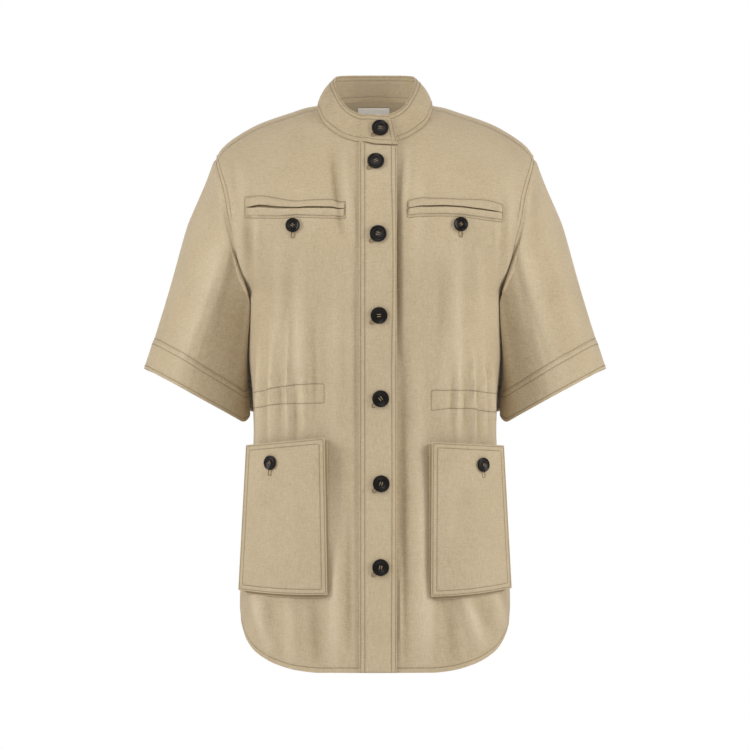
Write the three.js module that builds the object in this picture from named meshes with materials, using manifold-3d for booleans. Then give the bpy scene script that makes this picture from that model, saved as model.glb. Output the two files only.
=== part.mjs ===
// Safari jacket with half sleeves, filled out as it is when worn, with nobody in it.
// Sizes are in millimetres. +X is the wearer's left, -Y the front and +Z up. The origin is the
// middle of the neck, level with the points where the shoulder seams meet the collar.

import * as THREE from 'three';
import { mergeVertices } from 'three/addons/utils/BufferGeometryUtils.js';
import Module from 'manifold-3d';

const wasm = await Module();
wasm.setup();

// Cloth
const CLOTH = 1.6;
const BAND = 2.2;
const SEAM = 0.4;
const LIFT = 0.6;
const TAPE_THICK = 0.8;
const FRONT = -1;
const BACK = 1;
const RIGHT = -1;
const LEFT = 1;

const KHAKI = { color: 0xbeac8a, roughness: 0.85, metalness: 0 };
const HORN = { color: 0x2a2420, roughness: 0.35, metalness: 0 };
const TAPE = { color: 0xd9d5c8, roughness: 0.8, metalness: 0 };

// Body sections from the hem up: half width and depth to the front and to the back. Above the
// underarm the half width is the one that the section would have without an armhole.
const BODY = [
  { z: -745, half: 176, front: 124, back: 117 },
  { z: -640, half: 176.5, front: 124, back: 118 },
  { z: -590, half: 175, front: 122, back: 116 },
  { z: -520, half: 168.5, front: 118, back: 110 },
  { z: -450, half: 160, front: 114, back: 100 },
  { z: -415, half: 158.6, front: 112, back: 94 },
  { z: -370, half: 160.5, front: 113, back: 92 },
  { z: -316, half: 165.5, front: 118, back: 96 },
  { z: -270, half: 166.5, front: 123, back: 101 },
  { z: -242, half: 168, front: 126, back: 105 },
  { z: -214, half: 181, front: 128, back: 108 },
  { z: -176, half: 203, front: 129, back: 111 },
  { z: -110, half: 237, front: 129, back: 113 },
  { z: -60, half: 250, front: 128, back: 112 },
  { z: 60, half: 250, front: 128, back: 112 },
];
const SQUARENESS = 2.4;
const UNDERARM = -242;

// Heights above which the front and the back lean in to the shoulder, and how roundly
const LEAN = { [FRONT]: { from: -200, roundness: 1.8 }, [BACK]: { from: -150, roundness: 2 } };

// Ridge of the shoulder from the neck point outwards
const RIDGE = [
  { x: 74, z: 5.5 },
  { x: 87, z: 3.4 },
  { x: 108, z: -3.2 },
  { x: 150, z: -18 },
  { x: 179, z: -34 },
  { x: 198, z: -49 },
  { x: 209, z: -65 },
];
const NECK_HALF = 74;
const NECK_RISE = { [FRONT]: 9, [BACK]: 35 };
const SHOULDER_SEAM_DROP = 4;
const SHOULDER_SEAM_GAP = 0.3;

// Armhole seam seen from the front
const ARMHOLE = [
  { z: -242, x: 168 },
  { z: -214.5, x: 173 },
  { z: -175.5, x: 182 },
  { z: -140, x: 191 },
  { z: -110.5, x: 196 },
  { z: -69, x: 207 },
  { z: -60, x: 208.5 },
];
const SHOULDER_TIP = 208.5;

// Neckline in front and behind, from the middle outwards
const NECKLINE = {
  [FRONT]: [
    { x: 0, z: -43 },
    { x: 23, z: -40 },
    { x: 38, z: -36 },
    { x: 53, z: -27.5 },
    { x: 67, z: -15 },
    { x: 74, z: 1.2 },
  ],
  [BACK]: [
    { x: 0, z: 13 },
    { x: 40, z: 10.5 },
    { x: 62, z: 6.6 },
    { x: 74, z: 5.5 },
  ],
};

// Shirt-tail hem: its lowest height in the middle, and how far it rises on the way to the side
// seam, which is at share 1
const HEM = -732;
const HEM_LINE = [
  { share: 0, rise: 0 },
  { share: 0.42, rise: 0.4 },
  { share: 0.56, rise: 3 },
  { share: 0.73, rise: 11.5 },
  { share: 0.88, rise: 27.5 },
  { share: 0.945, rise: 43 },
  { share: 0.975, rise: 58 },
  { share: 0.993, rise: 74 },
  { share: 1, rise: 86 },
];

// Folds of the body cloth, each a soft ridge between two heights: width is from its crest to its
// foot, height is how far it stands out, and a trough has a height below 0.
const FOLDS = {
  [FRONT]: [
    { x1: -92, z1: -262, x2: -95, z2: -452, width: 9, height: 2.2 },
    { x1: -110, z1: -288, x2: -113, z2: -470, width: 8.5, height: 2.8 },
    { x1: -132, z1: -270, x2: -134, z2: -462, width: 8, height: 3 },
    { x1: -150, z1: -300, x2: -150, z2: -470, width: 5.5, height: 2.4 },
    { x1: 90, z1: -276, x2: 94, z2: -446, width: 9, height: 1.8 },
    { x1: 108, z1: -262, x2: 110, z2: -468, width: 8.5, height: 2.6 },
    { x1: 127, z1: -300, x2: 128, z2: -470, width: 8, height: 3 },
    { x1: 140, z1: -282, x2: 145, z2: -458, width: 6.5, height: 2.6 },
    { x1: 154, z1: -310, x2: 154, z2: -450, width: 4, height: 1.6 },
    { x1: -178, z1: -62, x2: -172, z2: -250, width: 15, height: 3.4 },
    { x1: 176, z1: -66, x2: 170, z2: -230, width: 14, height: 2.4 },
    { x1: -66, z1: -470, x2: -52, z2: -742, width: 22, height: 3.2 },
    { x1: 62, z1: -440, x2: 56, z2: -738, width: 24, height: 2.8 },
  ],
  [BACK]: [
    { x1: -150, z1: -300, x2: -149, z2: -476, width: 6, height: 2.2 },
    { x1: -134, z1: -270, x2: -137, z2: -490, width: 7.5, height: 2.8 },
    { x1: -114, z1: -290, x2: -113, z2: -470, width: 9, height: 2.4 },
    { x1: -90, z1: -262, x2: -92, z2: -496, width: 10.5, height: 3 },
    { x1: -62, z1: -296, x2: -65, z2: -478, width: 11.5, height: 2.4 },
    { x1: -34, z1: -268, x2: -36, z2: -500, width: 12.5, height: 3 },
    { x1: -3, z1: -286, x2: -5, z2: -474, width: 12, height: 2.6 },
    { x1: 28, z1: -258, x2: 26, z2: -492, width: 12, height: 2.8 },
    { x1: 56, z1: -292, x2: 58, z2: -480, width: 11.5, height: 2.4 },
    { x1: 84, z1: -266, x2: 86, z2: -498, width: 11, height: 3 },
    { x1: 108, z1: -288, x2: 109, z2: -472, width: 9.5, height: 2.5 },
    { x1: 130, z1: -272, x2: 132, z2: -488, width: 8, height: 2.8 },
    { x1: 149, z1: -304, x2: 149, z2: -470, width: 6, height: 2.2 },
  ],
};

// Front opening: the right front ends at the placket's seam, and the left front runs under it
const PLACKET = { from: -20.5, to: 28.5, gape: 1.4, gapeFrom: 4, seam: -18.7, under: -14 };

// Grid lines. Columns are shares of the way from the front edge to the side seam or armhole.
// Rows are heights up to the underarm, then shares of the way to the neckline or shoulder seam.
const SIDE_COLUMNS = {
  [FRONT]: [0.408, 0.47, 0.53, 0.6, 0.665, 0.74, 0.82, 0.88, 0.935, 0.97, 0.991, 1],
  [BACK]: [0.44, 0.52, 0.6, 0.67, 0.74, 0.81, 0.87, 0.93, 0.97, 0.991, 1],
};
const UNDER_COLUMNS = [0.08, 0.155];
const NARROWEST = 4;
const NECK_ROUNDS = {
  [FRONT]: [0.27, 0.35, 0.43, 0.5, 0.56, 0.6, 0.64],
  [BACK]: [0.7, 0.73, 0.77, 0.82, 0.88, 0.94, 1],
};
const HEM_ROWS = [0, 0.4];
const LEVELS = [-640, -590, -540, -490, -456, -430, -406, -382, -356, -326, -296, -268, -250];
const YOKE_ROWS = [0, 0.05, 0.14, 0.26, 0.39, 0.52, 0.65, 0.77, 0.88, 0.95, 1];
const OVER_RIDGE = 0.93;

const clamp = (value, low, high) => Math.min(high, Math.max(low, value));
const mix = (a, b, t) => a + (b - a) * t;
const ease = (t) => clamp(t, 0, 1) ** 2 * (3 - 2 * clamp(t, 0, 1));
const vec = (x, y, z) => new THREE.Vector3(x, y, z);

// The named column of a table at a place, on a smooth curve that never overshoots its rows
function read(rows, key, place, column) {
  const at = clamp(place, rows[0][key], rows[rows.length - 1][key]);
  const i = Math.max(0, Math.min(rows.length - 2, rows.findIndex((row) => row[key] > at) - 1));
  const last = at >= rows[rows.length - 1][key] ? rows.length - 2 : i;
  const rise = (k) => (rows[k + 1][column] - rows[k][column]) / (rows[k + 1][key] - rows[k][key]);
  const slope = (k) => {
    if (k === 0) return rise(0);
    if (k === rows.length - 1) return rise(k - 1);
    const product = rise(k - 1) * rise(k);
    return product <= 0 ? 0 : (2 * product) / (rise(k - 1) + rise(k));
  };
  const span = rows[last + 1][key] - rows[last][key];
  const t = (at - rows[last][key]) / span;
  const start = rows[last][column] * (1 + 2 * t) * (1 - t) ** 2 + slope(last) * span * t * (1 - t) ** 2;
  const end = rows[last + 1][column] * t * t * (3 - 2 * t) - slope(last + 1) * span * t * t * (1 - t);
  return start + end;
}

// Height of the shoulder ridge over a place; over the neck it is the one the cloth leans towards
function ridge(side, x) {
  const inside = Math.max(0, 1 - (x / NECK_HALF) ** 2);
  return read(RIDGE, 'x', Math.abs(x), 'z') + NECK_RISE[side] * inside ** 1.3;
}

// Depth of the body cloth in front of or behind the middle, at a place seen from the front
function depth(side, x, z) {
  const half = read(BODY, 'z', z, 'half');
  const full = read(BODY, 'z', z, side === FRONT ? 'front' : 'back');
  const { from, roundness } = LEAN[side];
  const across = Math.max(0, 1 - (Math.abs(x) / half) ** SQUARENESS) ** (1 / SQUARENESS);
  const up = clamp((z - from) / (ridge(side, x) - from), 0, 1);
  return full * across * (1 - up ** roundness) ** (1 / roundness);
}

// Outward direction of the body cloth at a point on it
function outward(side, x, y, z) {
  const step = 0.6;
  const full = read(BODY, 'z', z, side === FRONT ? 'front' : 'back');
  const level = (px, py, pz) => (py / full) ** 2 - (depth(side, px, pz) / full) ** 2;
  const gradient = vec(
    level(x + step, y, z) - level(x - step, y, z),
    level(x, y + step, z) - level(x, y - step, z),
    level(x, y, z + step) - level(x, y, z - step),
  );
  return gradient.normalize();
}

// How far the folds lift the cloth at a place
function foldHeight(side, x, z) {
  let lift = 0;
  for (const { x1, z1, x2, z2, width, height } of FOLDS[side]) {
    const down = (z1 - z) / (z1 - z2);
    const off = Math.abs(x - mix(x1, x2, down)) / width;
    if (down > 0 && down < 1 && off < 1) {
      lift += height * Math.sin(Math.PI * down) ** 0.8 * Math.cos((Math.PI / 2) * off) ** 2;
    }
  }
  return lift;
}

// Point of the body cloth's outer face, moved out by an offset
function skin(side, x, z, offset = 0) {
  const y = side * Math.max(SEAM / 2, depth(side, x, z));
  return vec(x, y, z).addScaledVector(outward(side, x, y, z), foldHeight(side, x, z) + offset);
}

// Closed wall from a grid of outer points and one of inner points; a ring joins its two ends
function wall(name, look, outer, inner, ring = false) {
  const rows = outer.length;
  const columns = outer[0].length;
  const points = [...outer.flat(), ...inner.flat()];
  const index = [];
  const quad = (a, b, c, d) => index.push(a, b, c, a, c, d);
  const at = (face, i, j) => face * rows * columns + i * columns + (j % columns);
  const lastColumn = ring ? columns : columns - 1;
  for (let i = 0; i < rows - 1; i += 1) {
    for (let j = 0; j < lastColumn; j += 1) {
      quad(at(0, i, j), at(0, i, j + 1), at(0, i + 1, j + 1), at(0, i + 1, j));
      quad(at(1, i + 1, j), at(1, i + 1, j + 1), at(1, i, j + 1), at(1, i, j));
    }
    if (!ring) {
      quad(at(1, i, 0), at(0, i, 0), at(0, i + 1, 0), at(1, i + 1, 0));
      const end = columns - 1;
      quad(at(0, i, end), at(1, i, end), at(1, i + 1, end), at(0, i + 1, end));
    }
  }
  for (let j = 0; j < lastColumn; j += 1) {
    quad(at(0, 0, j), at(1, 0, j), at(1, 0, j + 1), at(0, 0, j + 1));
    quad(at(0, rows - 1, j + 1), at(1, rows - 1, j + 1), at(1, rows - 1, j), at(0, rows - 1, j));
  }
  const geometry = new THREE.BufferGeometry();
  geometry.setAttribute('position', new THREE.Float32BufferAttribute(points.flatMap((p) => p.toArray()), 3));
  geometry.setIndex(volume(points, index) < 0 ? index.reverse() : index);
  geometry.computeVertexNormals();
  return named(name, look, geometry);
}

function volume(points, index) {
  let sum = 0;
  for (let k = 0; k < index.length; k += 3) {
    const [a, b, c] = [points[index[k]], points[index[k + 1]], points[index[k + 2]]];
    sum += a.dot(b.clone().cross(c));
  }
  return sum / 6;
}

function named(name, look, geometry) {
  const mesh = new THREE.Mesh(geometry, new THREE.MeshStandardMaterial(look));
  mesh.name = name;
  return mesh;
}

// Wall that lies on the body cloth: its faces stand off it by the two offsets
function laid(name, look, side, grid, low, high) {
  const point = (offset) => ({ x, z, raise = 0 }) => skin(side, x, z, offset + raise);
  const face = (offset) => grid.map((row) => row.map(point(offset)));
  return wall(name, look, face(high), face(low));
}

// Height of the hem below a place, as a share of the half width
function hem(share) {
  return HEM + read(HEM_LINE, 'share', Math.min(1, Math.abs(share)), 'rise');
}

// Half width of the panels: the side seam's below the underarm and the armhole seam's above it
const reach = (z) => (z > UNDERARM ? read(ARMHOLE, 'z', z, 'x') - SEAM / 2 : read(BODY, 'z', z, 'half'));

// Top of a panel's column: the neckline, or the shoulder seam outside the neck point
function panelTop(side, x) {
  if (Math.abs(x) < NECK_HALF) return read(NECKLINE[side], 'x', Math.abs(x), 'z');
  return ridge(FRONT, x) - SHOULDER_SEAM_DROP - (side === FRONT ? SHOULDER_SEAM_GAP : 0);
}

// Heights of one column of a panel. share is its place from the middle to the side, and topX
// is where it ends. The back's outer columns go over the ridge to the seam in front of it.
function columnPlaces(side, share, topX) {
  const low = hem(share);
  const places = [
    ...HEM_ROWS.map((t) => ({ side, z: mix(low, LEVELS[0], t) })),
    ...LEVELS.map((z) => ({ side, z })),
  ];
  const overRidge = side === BACK && Math.abs(topX) >= NECK_HALF - 0.01;
  for (const t of YOKE_ROWS) {
    if (!overRidge) {
      const up = side === BACK ? Math.sin((Math.PI / 2) * t) : t;
      places.push({ side, z: mix(UNDERARM, panelTop(side, topX), up) });
    } else if (t <= OVER_RIDGE) {
      const up = Math.sin((Math.PI / 2) * (t / OVER_RIDGE));
      places.push({ side, z: mix(UNDERARM, ridge(BACK, topX), up) });
    } else {
      const over = ((t - OVER_RIDGE) / (1 - OVER_RIDGE)) ** 2;
      places.push({ side: FRONT, z: ridge(FRONT, topX) - SHOULDER_SEAM_DROP * over });
    }
  }
  return places;
}

// Panel of the body between an edge near the middle and the side seam or armhole
function panel(name, side, columns) {
  const grid = columns.map(({ edge, sign, share }) => {
    const xAt = (z) => edge + (sign * reach(z) - edge) * share;
    const topX = xAt(0);
    const middle = xAt(HEM) / reach(HEM);
    return columnPlaces(side, middle, topX).map((place) => ({ ...place, x: xAt(place.z) }));
  });
  const face = (offset) => grid.map((column) => column.map(({ side: s, x, z }) => skin(s, x, z, offset)));
  return wall(name, KHAKI, face(0), face(-CLOTH));
}

// Columns at the neckline, as shares of the way from an edge to the shoulder tip
function neckShares(side, edge, sign) {
  const tip = reach(0);
  const start = sign * edge;
  const places = NECK_ROUNDS[side].map((round) => read(COLLAR, 'round', round, 'x'));
  return places.filter((x) => x > start + NARROWEST).map((x) => (x - start) / (tip - start));
}

function frontPanel(name, sign, edge) {
  const inner = [0, ...(sign === LEFT ? UNDER_COLUMNS : []), ...neckShares(FRONT, edge, sign)];
  const outer = SIDE_COLUMNS[FRONT].filter((share) => share > inner[inner.length - 1] + 0.02);
  return panel(name, FRONT, [...inner, ...outer].map((share) => ({ edge, sign, share })));
}

function backPanel() {
  const half = [...neckShares(BACK, 0, LEFT).reverse(), ...SIDE_COLUMNS[BACK]];
  const side = (sign) => half.map((share) => ({ edge: 0, sign, share }));
  return panel('back', BACK, [...side(RIGHT).reverse(), { edge: 0, sign: LEFT, share: 0 }, ...side(LEFT)]);
}

// Collar: a stand band from under the tab, round the neck to the tab's end on the other front.
// round is the place round half of it, from the middle of the front to the middle of the back,
// x is where its lower edge meets the neckline, and the rest is where its top edge stands.
const COLLAR = [
  { round: 0, x: 0, topX: 0, topY: -64, topZ: -7, swell: 0 },
  { round: 0.2, x: 23, topX: 17, topY: -62, topZ: -5.5, swell: 0 },
  { round: 0.34, x: 40, topX: 29, topY: -56, topZ: -1, swell: 0.8 },
  { round: 0.46, x: 54, topX: 39, topY: -46, topZ: 7, swell: 2.4 },
  { round: 0.56, x: 66, topX: 47, topY: -32, topZ: 20, swell: 4 },
  { round: 0.64, x: 74, topX: 51.5, topY: -13, topZ: 34, swell: 4.5 },
  { round: 0.7, x: 74, topX: 52.5, topY: 3, topZ: 39.5, swell: 4 },
  { round: 0.8, x: 64, topX: 48, topY: 24, topZ: 43.5, swell: 2.2 },
  { round: 0.9, x: 38, topX: 31, topY: 38, topZ: 44.5, swell: 1 },
  { round: 1, x: 0, topX: 0, topY: 42, topZ: 44.5, swell: 0.6 },
];
const NECK_CORNER = { [FRONT]: 0.64, [BACK]: 0.7 };
const COLLAR_INSIDE = 0.984;
const COLLAR_RAISE = 1;
const TAB = { reach: 27.5, drop: 5, from: -22, stand: 4.2, footStand: 3.6 };
const UNDERLAP = 6;
const TAB_LAP = 12;
const TAB_DROOP = 34;
const DROOP_AT_TOP = 0.25;

// Place on the body cloth under a place round the collar
function neckPlace(round) {
  const x = read(COLLAR, 'round', round, 'x');
  if (round <= NECK_CORNER[FRONT]) return { side: FRONT, x, z: panelTop(FRONT, x) };
  if (round >= NECK_CORNER[BACK]) return { side: BACK, x, z: read(NECKLINE[BACK], 'x', x, 'z') };
  const over = (NECK_CORNER[BACK] - round) / (NECK_CORNER[BACK] - NECK_CORNER[FRONT]);
  return { side: FRONT, x: NECK_HALF, z: ridge(FRONT, NECK_HALF) - SHOULDER_SEAM_DROP * over ** 2 };
}

// Point of the collar's lower or upper edge. Past the middle of the front or back it goes on to
// the other side.
function collarEdge(sign, round, high) {
  if (round < 0) return collarEdge(-sign, -round, high);
  if (round > 1) return collarEdge(-sign, 2 - round, high);
  const at = (column) => read(COLLAR, 'round', round, column);
  if (high) return vec(sign * at('topX'), at('topY'), at('topZ'));
  const { side, x, z } = neckPlace(round);
  const y = side * depth(side, x, z);
  return vec(sign * x * COLLAR_INSIDE, y * COLLAR_INSIDE, z + COLLAR_RAISE);
}

function collarOutward(sign, round) {
  const step = 0.03;
  const before = collarEdge(sign, round - step, false).add(collarEdge(sign, round - step, true));
  const after = collarEdge(sign, round + step, false).add(collarEdge(sign, round + step, true));
  const up = collarEdge(sign, round, true).sub(collarEdge(sign, round, false));
  return after.sub(before).cross(up).multiplyScalar(sign).normalize();
}

// Place round the collar of a point near its middle
const nearMiddle = (x) => 0.2 * (x / 23);

// Point of the collar's outer face at a share t of the way up: lap is 1 where the tab lies over
// the other front, and droop is how far its foot has come down
function collarPoint({ round, lap, droop }, t, offset) {
  const [sign, place] = round > 1 ? [RIGHT, 2 - round] : [LEFT, round];
  const spot = collarEdge(sign, place, false).lerp(collarEdge(sign, place, true), t);
  const stand = lap * TAB.stand + droop * (1 - t) * TAB.footStand;
  const swell = read(COLLAR, 'round', Math.max(0, place), 'swell') * 4 * t * (1 - t);
  spot.addScaledVector(collarOutward(sign, place), stand + swell + offset);
  spot.z -= TAB.drop * droop * mix(1, DROOP_AT_TOP, t);
  return spot;
}

const tabStation = (x) => ({
  round: 2 + nearMiddle(x),
  lap: ease((x - TAB.from) / TAB_LAP),
  droop: ease((x - TAB.from) / TAB_DROOP),
});

function collar() {
  const start = [-UNDERLAP, 0, 8, 16].map(nearMiddle);
  const side = [0.2, ...NECK_ROUNDS[FRONT], 0.655, 0.675, ...NECK_ROUNDS[BACK]];
  const around = [...side, ...side.slice(0, -1).reverse().map((round) => 2 - round)];
  const stations = [...start, ...around].map((round) => ({ round, lap: 0, droop: 0 }));
  stations.push(...[-16, -9, 0, 9, 18, TAB.reach].map(tabStation));
  const rows = [0, 0.5, 1];
  const face = (offset) => rows.map((t) => stations.map((station) => collarPoint(station, t, offset)));
  return wall('collar', KHAKI, face(0), face(-BAND));
}

function placket() {
  const columns = [PLACKET.from, -8, 4, 16, PLACKET.to];
  const neck = (x) => read(NECKLINE[FRONT], 'x', Math.abs(x), 'z') - TAB.drop * tabStation(x).droop;
  const heights = [HEM + 0.5, mix(HEM, LEVELS[0], HEM_ROWS[1]), ...LEVELS];
  const grid = columns.map((x) => {
    const raise = PLACKET.gape * ease((x - PLACKET.gapeFrom) / (PLACKET.to - PLACKET.gapeFrom));
    const upper = YOKE_ROWS.map((t) => mix(UNDERARM, neck(x) - 1, t));
    return [...heights, ...upper].map((z) => ({ x, z, raise }));
  });
  return laid('placket', KHAKI, FRONT, grid, LIFT, LIFT + BAND);
}

// Sleeve: an outer line from the shoulder tip and an inner line from the underarm carry its
// rings, each an oval whose length lies between them; width is half its size front to back.
const SLEEVE = [
  { t: 0, outX: 208, outY: -2, outZ: -65, inX: 168, inY: 0, inZ: -242, width: 73 },
  { t: 0.1, outX: 217, outY: -1, outZ: -92, inX: 174, inY: 3, inZ: -258, width: 75 },
  { t: 0.3, outX: 235, outY: 1, outZ: -147, inX: 171, inY: 20, inZ: -290, width: 76 },
  { t: 0.6, outX: 260, outY: 3, outZ: -228, inX: 162.5, inY: 36, inZ: -322, width: 74 },
  { t: 0.862, outX: 284, outY: 4.5, outZ: -299.6, inX: 159, inY: 40, inZ: -356, width: 69 },
  { t: 1, outX: 297, outY: 5, outZ: -337, inX: 158, inY: 42, inZ: -392, width: 67 },
];
const SLEEVE_ROWS = [0, 0.09, 0.18, 0.29, 0.43, 0.57, 0.71, 0.862];
const SLEEVE_HEAD = 0.3;
const HEAD_FULLNESS = 30;
const CUFF_ROWS = [0.866, 0.93, 1];
const CUFF_STAND = 0.8;
const SLEEVE_SQUARENESS = 2.15;
const CLEAR = 1.6;
const UNDERARM_ROOM = 9;
const FOLD_ROOM = { by: 2.6, below: 30, over: 60 };

// Folds that run down the sleeve: angle is their place round it from the top, in degrees
const SLEEVE_FOLDS = [
  { angle: 62, from: -0.2, to: 0.75, width: 17, height: 3.2 },
  { angle: 118, from: 0.02, to: 0.95, width: 16, height: 3.6 },
  { angle: 150, from: 0.1, to: 1.05, width: 13, height: 2.6 },
  { angle: 238, from: 0.02, to: 0.9, width: 18, height: 3.4 },
  { angle: 292, from: -0.2, to: 0.7, width: 18, height: 2.8 },
];

// Stations of the armhole seam, down its front from the shoulder seam and up its back
function armhole() {
  const edge = (side, t) => {
    const top = columnPlaces(side, 1, SHOULDER_TIP - SEAM / 2).slice(-YOKE_ROWS.length);
    const place = top[YOKE_ROWS.indexOf(t)];
    return { ...place, x: reach(place.z) };
  };
  const front = [...YOKE_ROWS].reverse().map((t) => edge(FRONT, t));
  const back = YOKE_ROWS.slice(1, -1).map((t) => edge(BACK, t));
  return [...front, ...back];
}

function sleeveAngle(start) {
  const [row] = SLEEVE;
  const along = vec(row.outX - row.inX, row.outY - row.inY, row.outZ - row.inZ);
  const middle = vec((row.outX + row.inX) / 2, (row.outY + row.inY) / 2, (row.outZ + row.inZ) / 2);
  const cosine = start.clone().sub(middle).dot(along) / (along.lengthSq() / 2);
  return Math.atan2(-start.y / row.width, cosine);
}

const power = (value, exponent) => Math.sign(value) * Math.abs(value) ** exponent;

function sleeveFold(angle, t) {
  const degrees = (THREE.MathUtils.radToDeg(angle) + 360) % 360;
  let lift = 0;
  for (const fold of SLEEVE_FOLDS) {
    const down = (t - fold.from) / (fold.to - fold.from);
    const off = Math.abs(degrees - fold.angle) / fold.width;
    if (down > 0 && down < 1 && off < 1) {
      lift += fold.height * Math.sin(Math.PI * down) * Math.cos((Math.PI / 2) * off) ** 2;
    }
  }
  return lift;
}

// How far the cuff's edge drops below a plain oval: in front it runs straight down to a corner
// by the body, and behind it stays hidden above that line
const CUFF_DIP = { slope: 10.3, across: 9, cornerFrom: 0.5, corner: 0.85, behind: 5 };

function cuffDip(c, s) {
  if (s < 0) return CUFF_DIP.behind * s * ease(1.5 * c + 0.5);
  const corner = ease((s - CUFF_DIP.cornerFrom) / (CUFF_DIP.corner - CUFF_DIP.cornerFrom));
  return (CUFF_DIP.slope * (1 - c) + CUFF_DIP.across * s) * mix(1, corner, ease(-2 * c));
}

// Point of the left sleeve's outer face, before it is kept clear of the body
function sleeveOval(angle, t) {
  const at = (column) => read(SLEEVE, 't', t, column);
  const out = vec(at('outX'), at('outY'), at('outZ'));
  const low = vec(at('inX'), at('inY'), at('inZ'));
  const middle = out.clone().add(low).multiplyScalar(0.5);
  const along = out.clone().sub(low).multiplyScalar(0.5);
  const flat = vec(along.x, along.y, 0).normalize();
  const across = vec(flat.y, -flat.x, 0);
  const c = power(Math.cos(angle), 2 / SLEEVE_SQUARENESS);
  const s = power(Math.sin(angle), 2 / SLEEVE_SQUARENESS);
  const width = at('width') + sleeveFold(angle, t);
  const point = middle.addScaledVector(along, c).addScaledVector(across, s * width);
  point.z -= ease(t) * cuffDip(c, s);
  return point;
}

// The body's side stops the sleeve: a point that would reach it is moved out
function clearOfBody(point) {
  const half = reach(point.z);
  const full = read(BODY, 'z', point.z, point.y < 0 ? 'front' : 'back');
  const side = half * Math.max(0, 1 - (Math.abs(point.y) / full) ** SQUARENESS) ** (1 / SQUARENESS);
  const foldRoom = FOLD_ROOM.by * ease((UNDERARM - FOLD_ROOM.below - point.z) / FOLD_ROOM.over);
  if (point.z < UNDERARM + UNDERARM_ROOM) point.x = Math.max(point.x, side + CLEAR + foldRoom);
  return point;
}

// Direction along the body cloth, away from the panels, at each station of the armhole
function armholeAway() {
  const places = armhole();
  const points = places.map(({ side, x, z }) => skin(side, x, z));
  return places.map(({ side, x, z }, j) => {
    const after = points[(j + 1) % points.length];
    const before = points[(j + points.length - 1) % points.length];
    const y = side * Math.max(SEAM / 2, depth(side, x, z));
    return outward(side, x, y, z).cross(after.clone().sub(before)).normalize();
  });
}

// Rings of the left sleeve: the first is the armhole, and the cloth goes on in the body cloth's
// own direction before it turns down, except under the arm
function sleeveRings(rows, stand) {
  const stations = armhole().map(({ side, x, z }) => skin(side, x, z));
  const aways = armholeAway();
  return rows.map((t) => stations.map((start, j) => {
    const angle = sleeveAngle(start);
    const down = clamp(t / SLEEVE_HEAD, 0, 1);
    const point = start.clone().lerp(sleeveOval(angle, t), ease(down));
    const full = HEAD_FULLNESS * down * (1 - down) ** 2 * ease((start.z - UNDERARM) / 12);
    point.addScaledVector(aways[j], full);
    if (stand > 0) {
      const middle = sleeveOval(angle, t).lerp(sleeveOval(angle + Math.PI, t), 0.5);
      point.addScaledVector(point.clone().sub(middle).normalize(), stand);
    }
    return clearOfBody(point);
  }));
}

// Inner face of a tube of rings: each point moved in along the mean direction of its faces
function tubeInside(rings, thickness) {
  const count = rings[0].length;
  return rings.map((ring, i) => ring.map((point, j) => {
    const round = ring[(j + 1) % count].clone().sub(ring[(j + count - 1) % count]);
    const down = rings[Math.min(i + 1, rings.length - 1)][j].clone().sub(rings[Math.max(i - 1, 0)][j]);
    return point.clone().addScaledVector(round.cross(down).normalize(), -thickness);
  }));
}

function mirrored(mesh, name) {
  const geometry = mesh.geometry.clone();
  geometry.scale(-1, 1, 1);
  geometry.setIndex([...geometry.index.array].reverse());
  geometry.computeVertexNormals();
  return named(name, mesh.material.clone(), geometry);
}

// The sleeve starts beside the armhole edge, with its own edge cut square to the body cloth
function leftSleeve() {
  const outer = sleeveRings(SLEEVE_ROWS, 0);
  const inner = tubeInside(outer, CLOTH);
  armholeAway().forEach((away, j) => {
    const inward = inner[0][j].clone().sub(outer[0][j]);
    const back = Math.min(0, inward.dot(away) + CLOTH * 0.1);
    inward.addScaledVector(away, -back);
    outer[0][j].addScaledVector(away, SEAM + 0.3);
    clearOfBody(outer[0][j]);
    inner[0][j] = outer[0][j].clone().add(inward);
  });
  return wall('sleeve_left', KHAKI, outer, inner, true);
}

function leftCuff() {
  const outer = sleeveRings(CUFF_ROWS, CUFF_STAND);
  return wall('cuff_left', KHAKI, outer, tubeInside(outer, BAND), true);
}

// Chest pockets: two welts with a slit between them, from the end by the middle outwards
const WELT = { puff: 0.7, thick: 1.3 };
const WELT_LINES = {
  [RIGHT]: [
    { x: 40.3, top: -121.2, slit: -128.6, bottom: -137.7, gape: 0.7 },
    { x: 58.5, top: -117.9, slit: -126.9, bottom: -137.5, gape: 2.2 },
    { x: 85.8, top: -118.7, slit: -126.6, bottom: -136.8, gape: 2.2 },
    { x: 101.4, top: -120, slit: -127.4, bottom: -136.3, gape: 1.5 },
    { x: 124.8, top: -116.9, slit: -127, bottom: -137.7, gape: 2.4 },
    { x: 146.9, top: -113.4, slit: -125.4, bottom: -137.5, gape: 3.2 },
    { x: 167, top: -115.2, slit: -126.9, bottom: -137, gape: 0.7 },
  ],
  [LEFT]: [
    { x: 44.4, top: -119.3, slit: -127.7, bottom: -136.9, gape: 0.7 },
    { x: 64.5, top: -116.2, slit: -125.7, bottom: -135.3, gape: 1.5 },
    { x: 87.1, top: -116.4, slit: -125.1, bottom: -134.7, gape: 1.8 },
    { x: 110.5, top: -117.6, slit: -126.1, bottom: -135.5, gape: 1.6 },
    { x: 126.1, top: -117.7, slit: -127.9, bottom: -137.4, gape: 1.6 },
    { x: 143, top: -118.8, slit: -130, bottom: -139.8, gape: 1.5 },
    { x: 164.5, top: -124.2, slit: -133.6, bottom: -142.7, gape: 0.7 },
  ],
};
const WELT_STEPS = 11;

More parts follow.
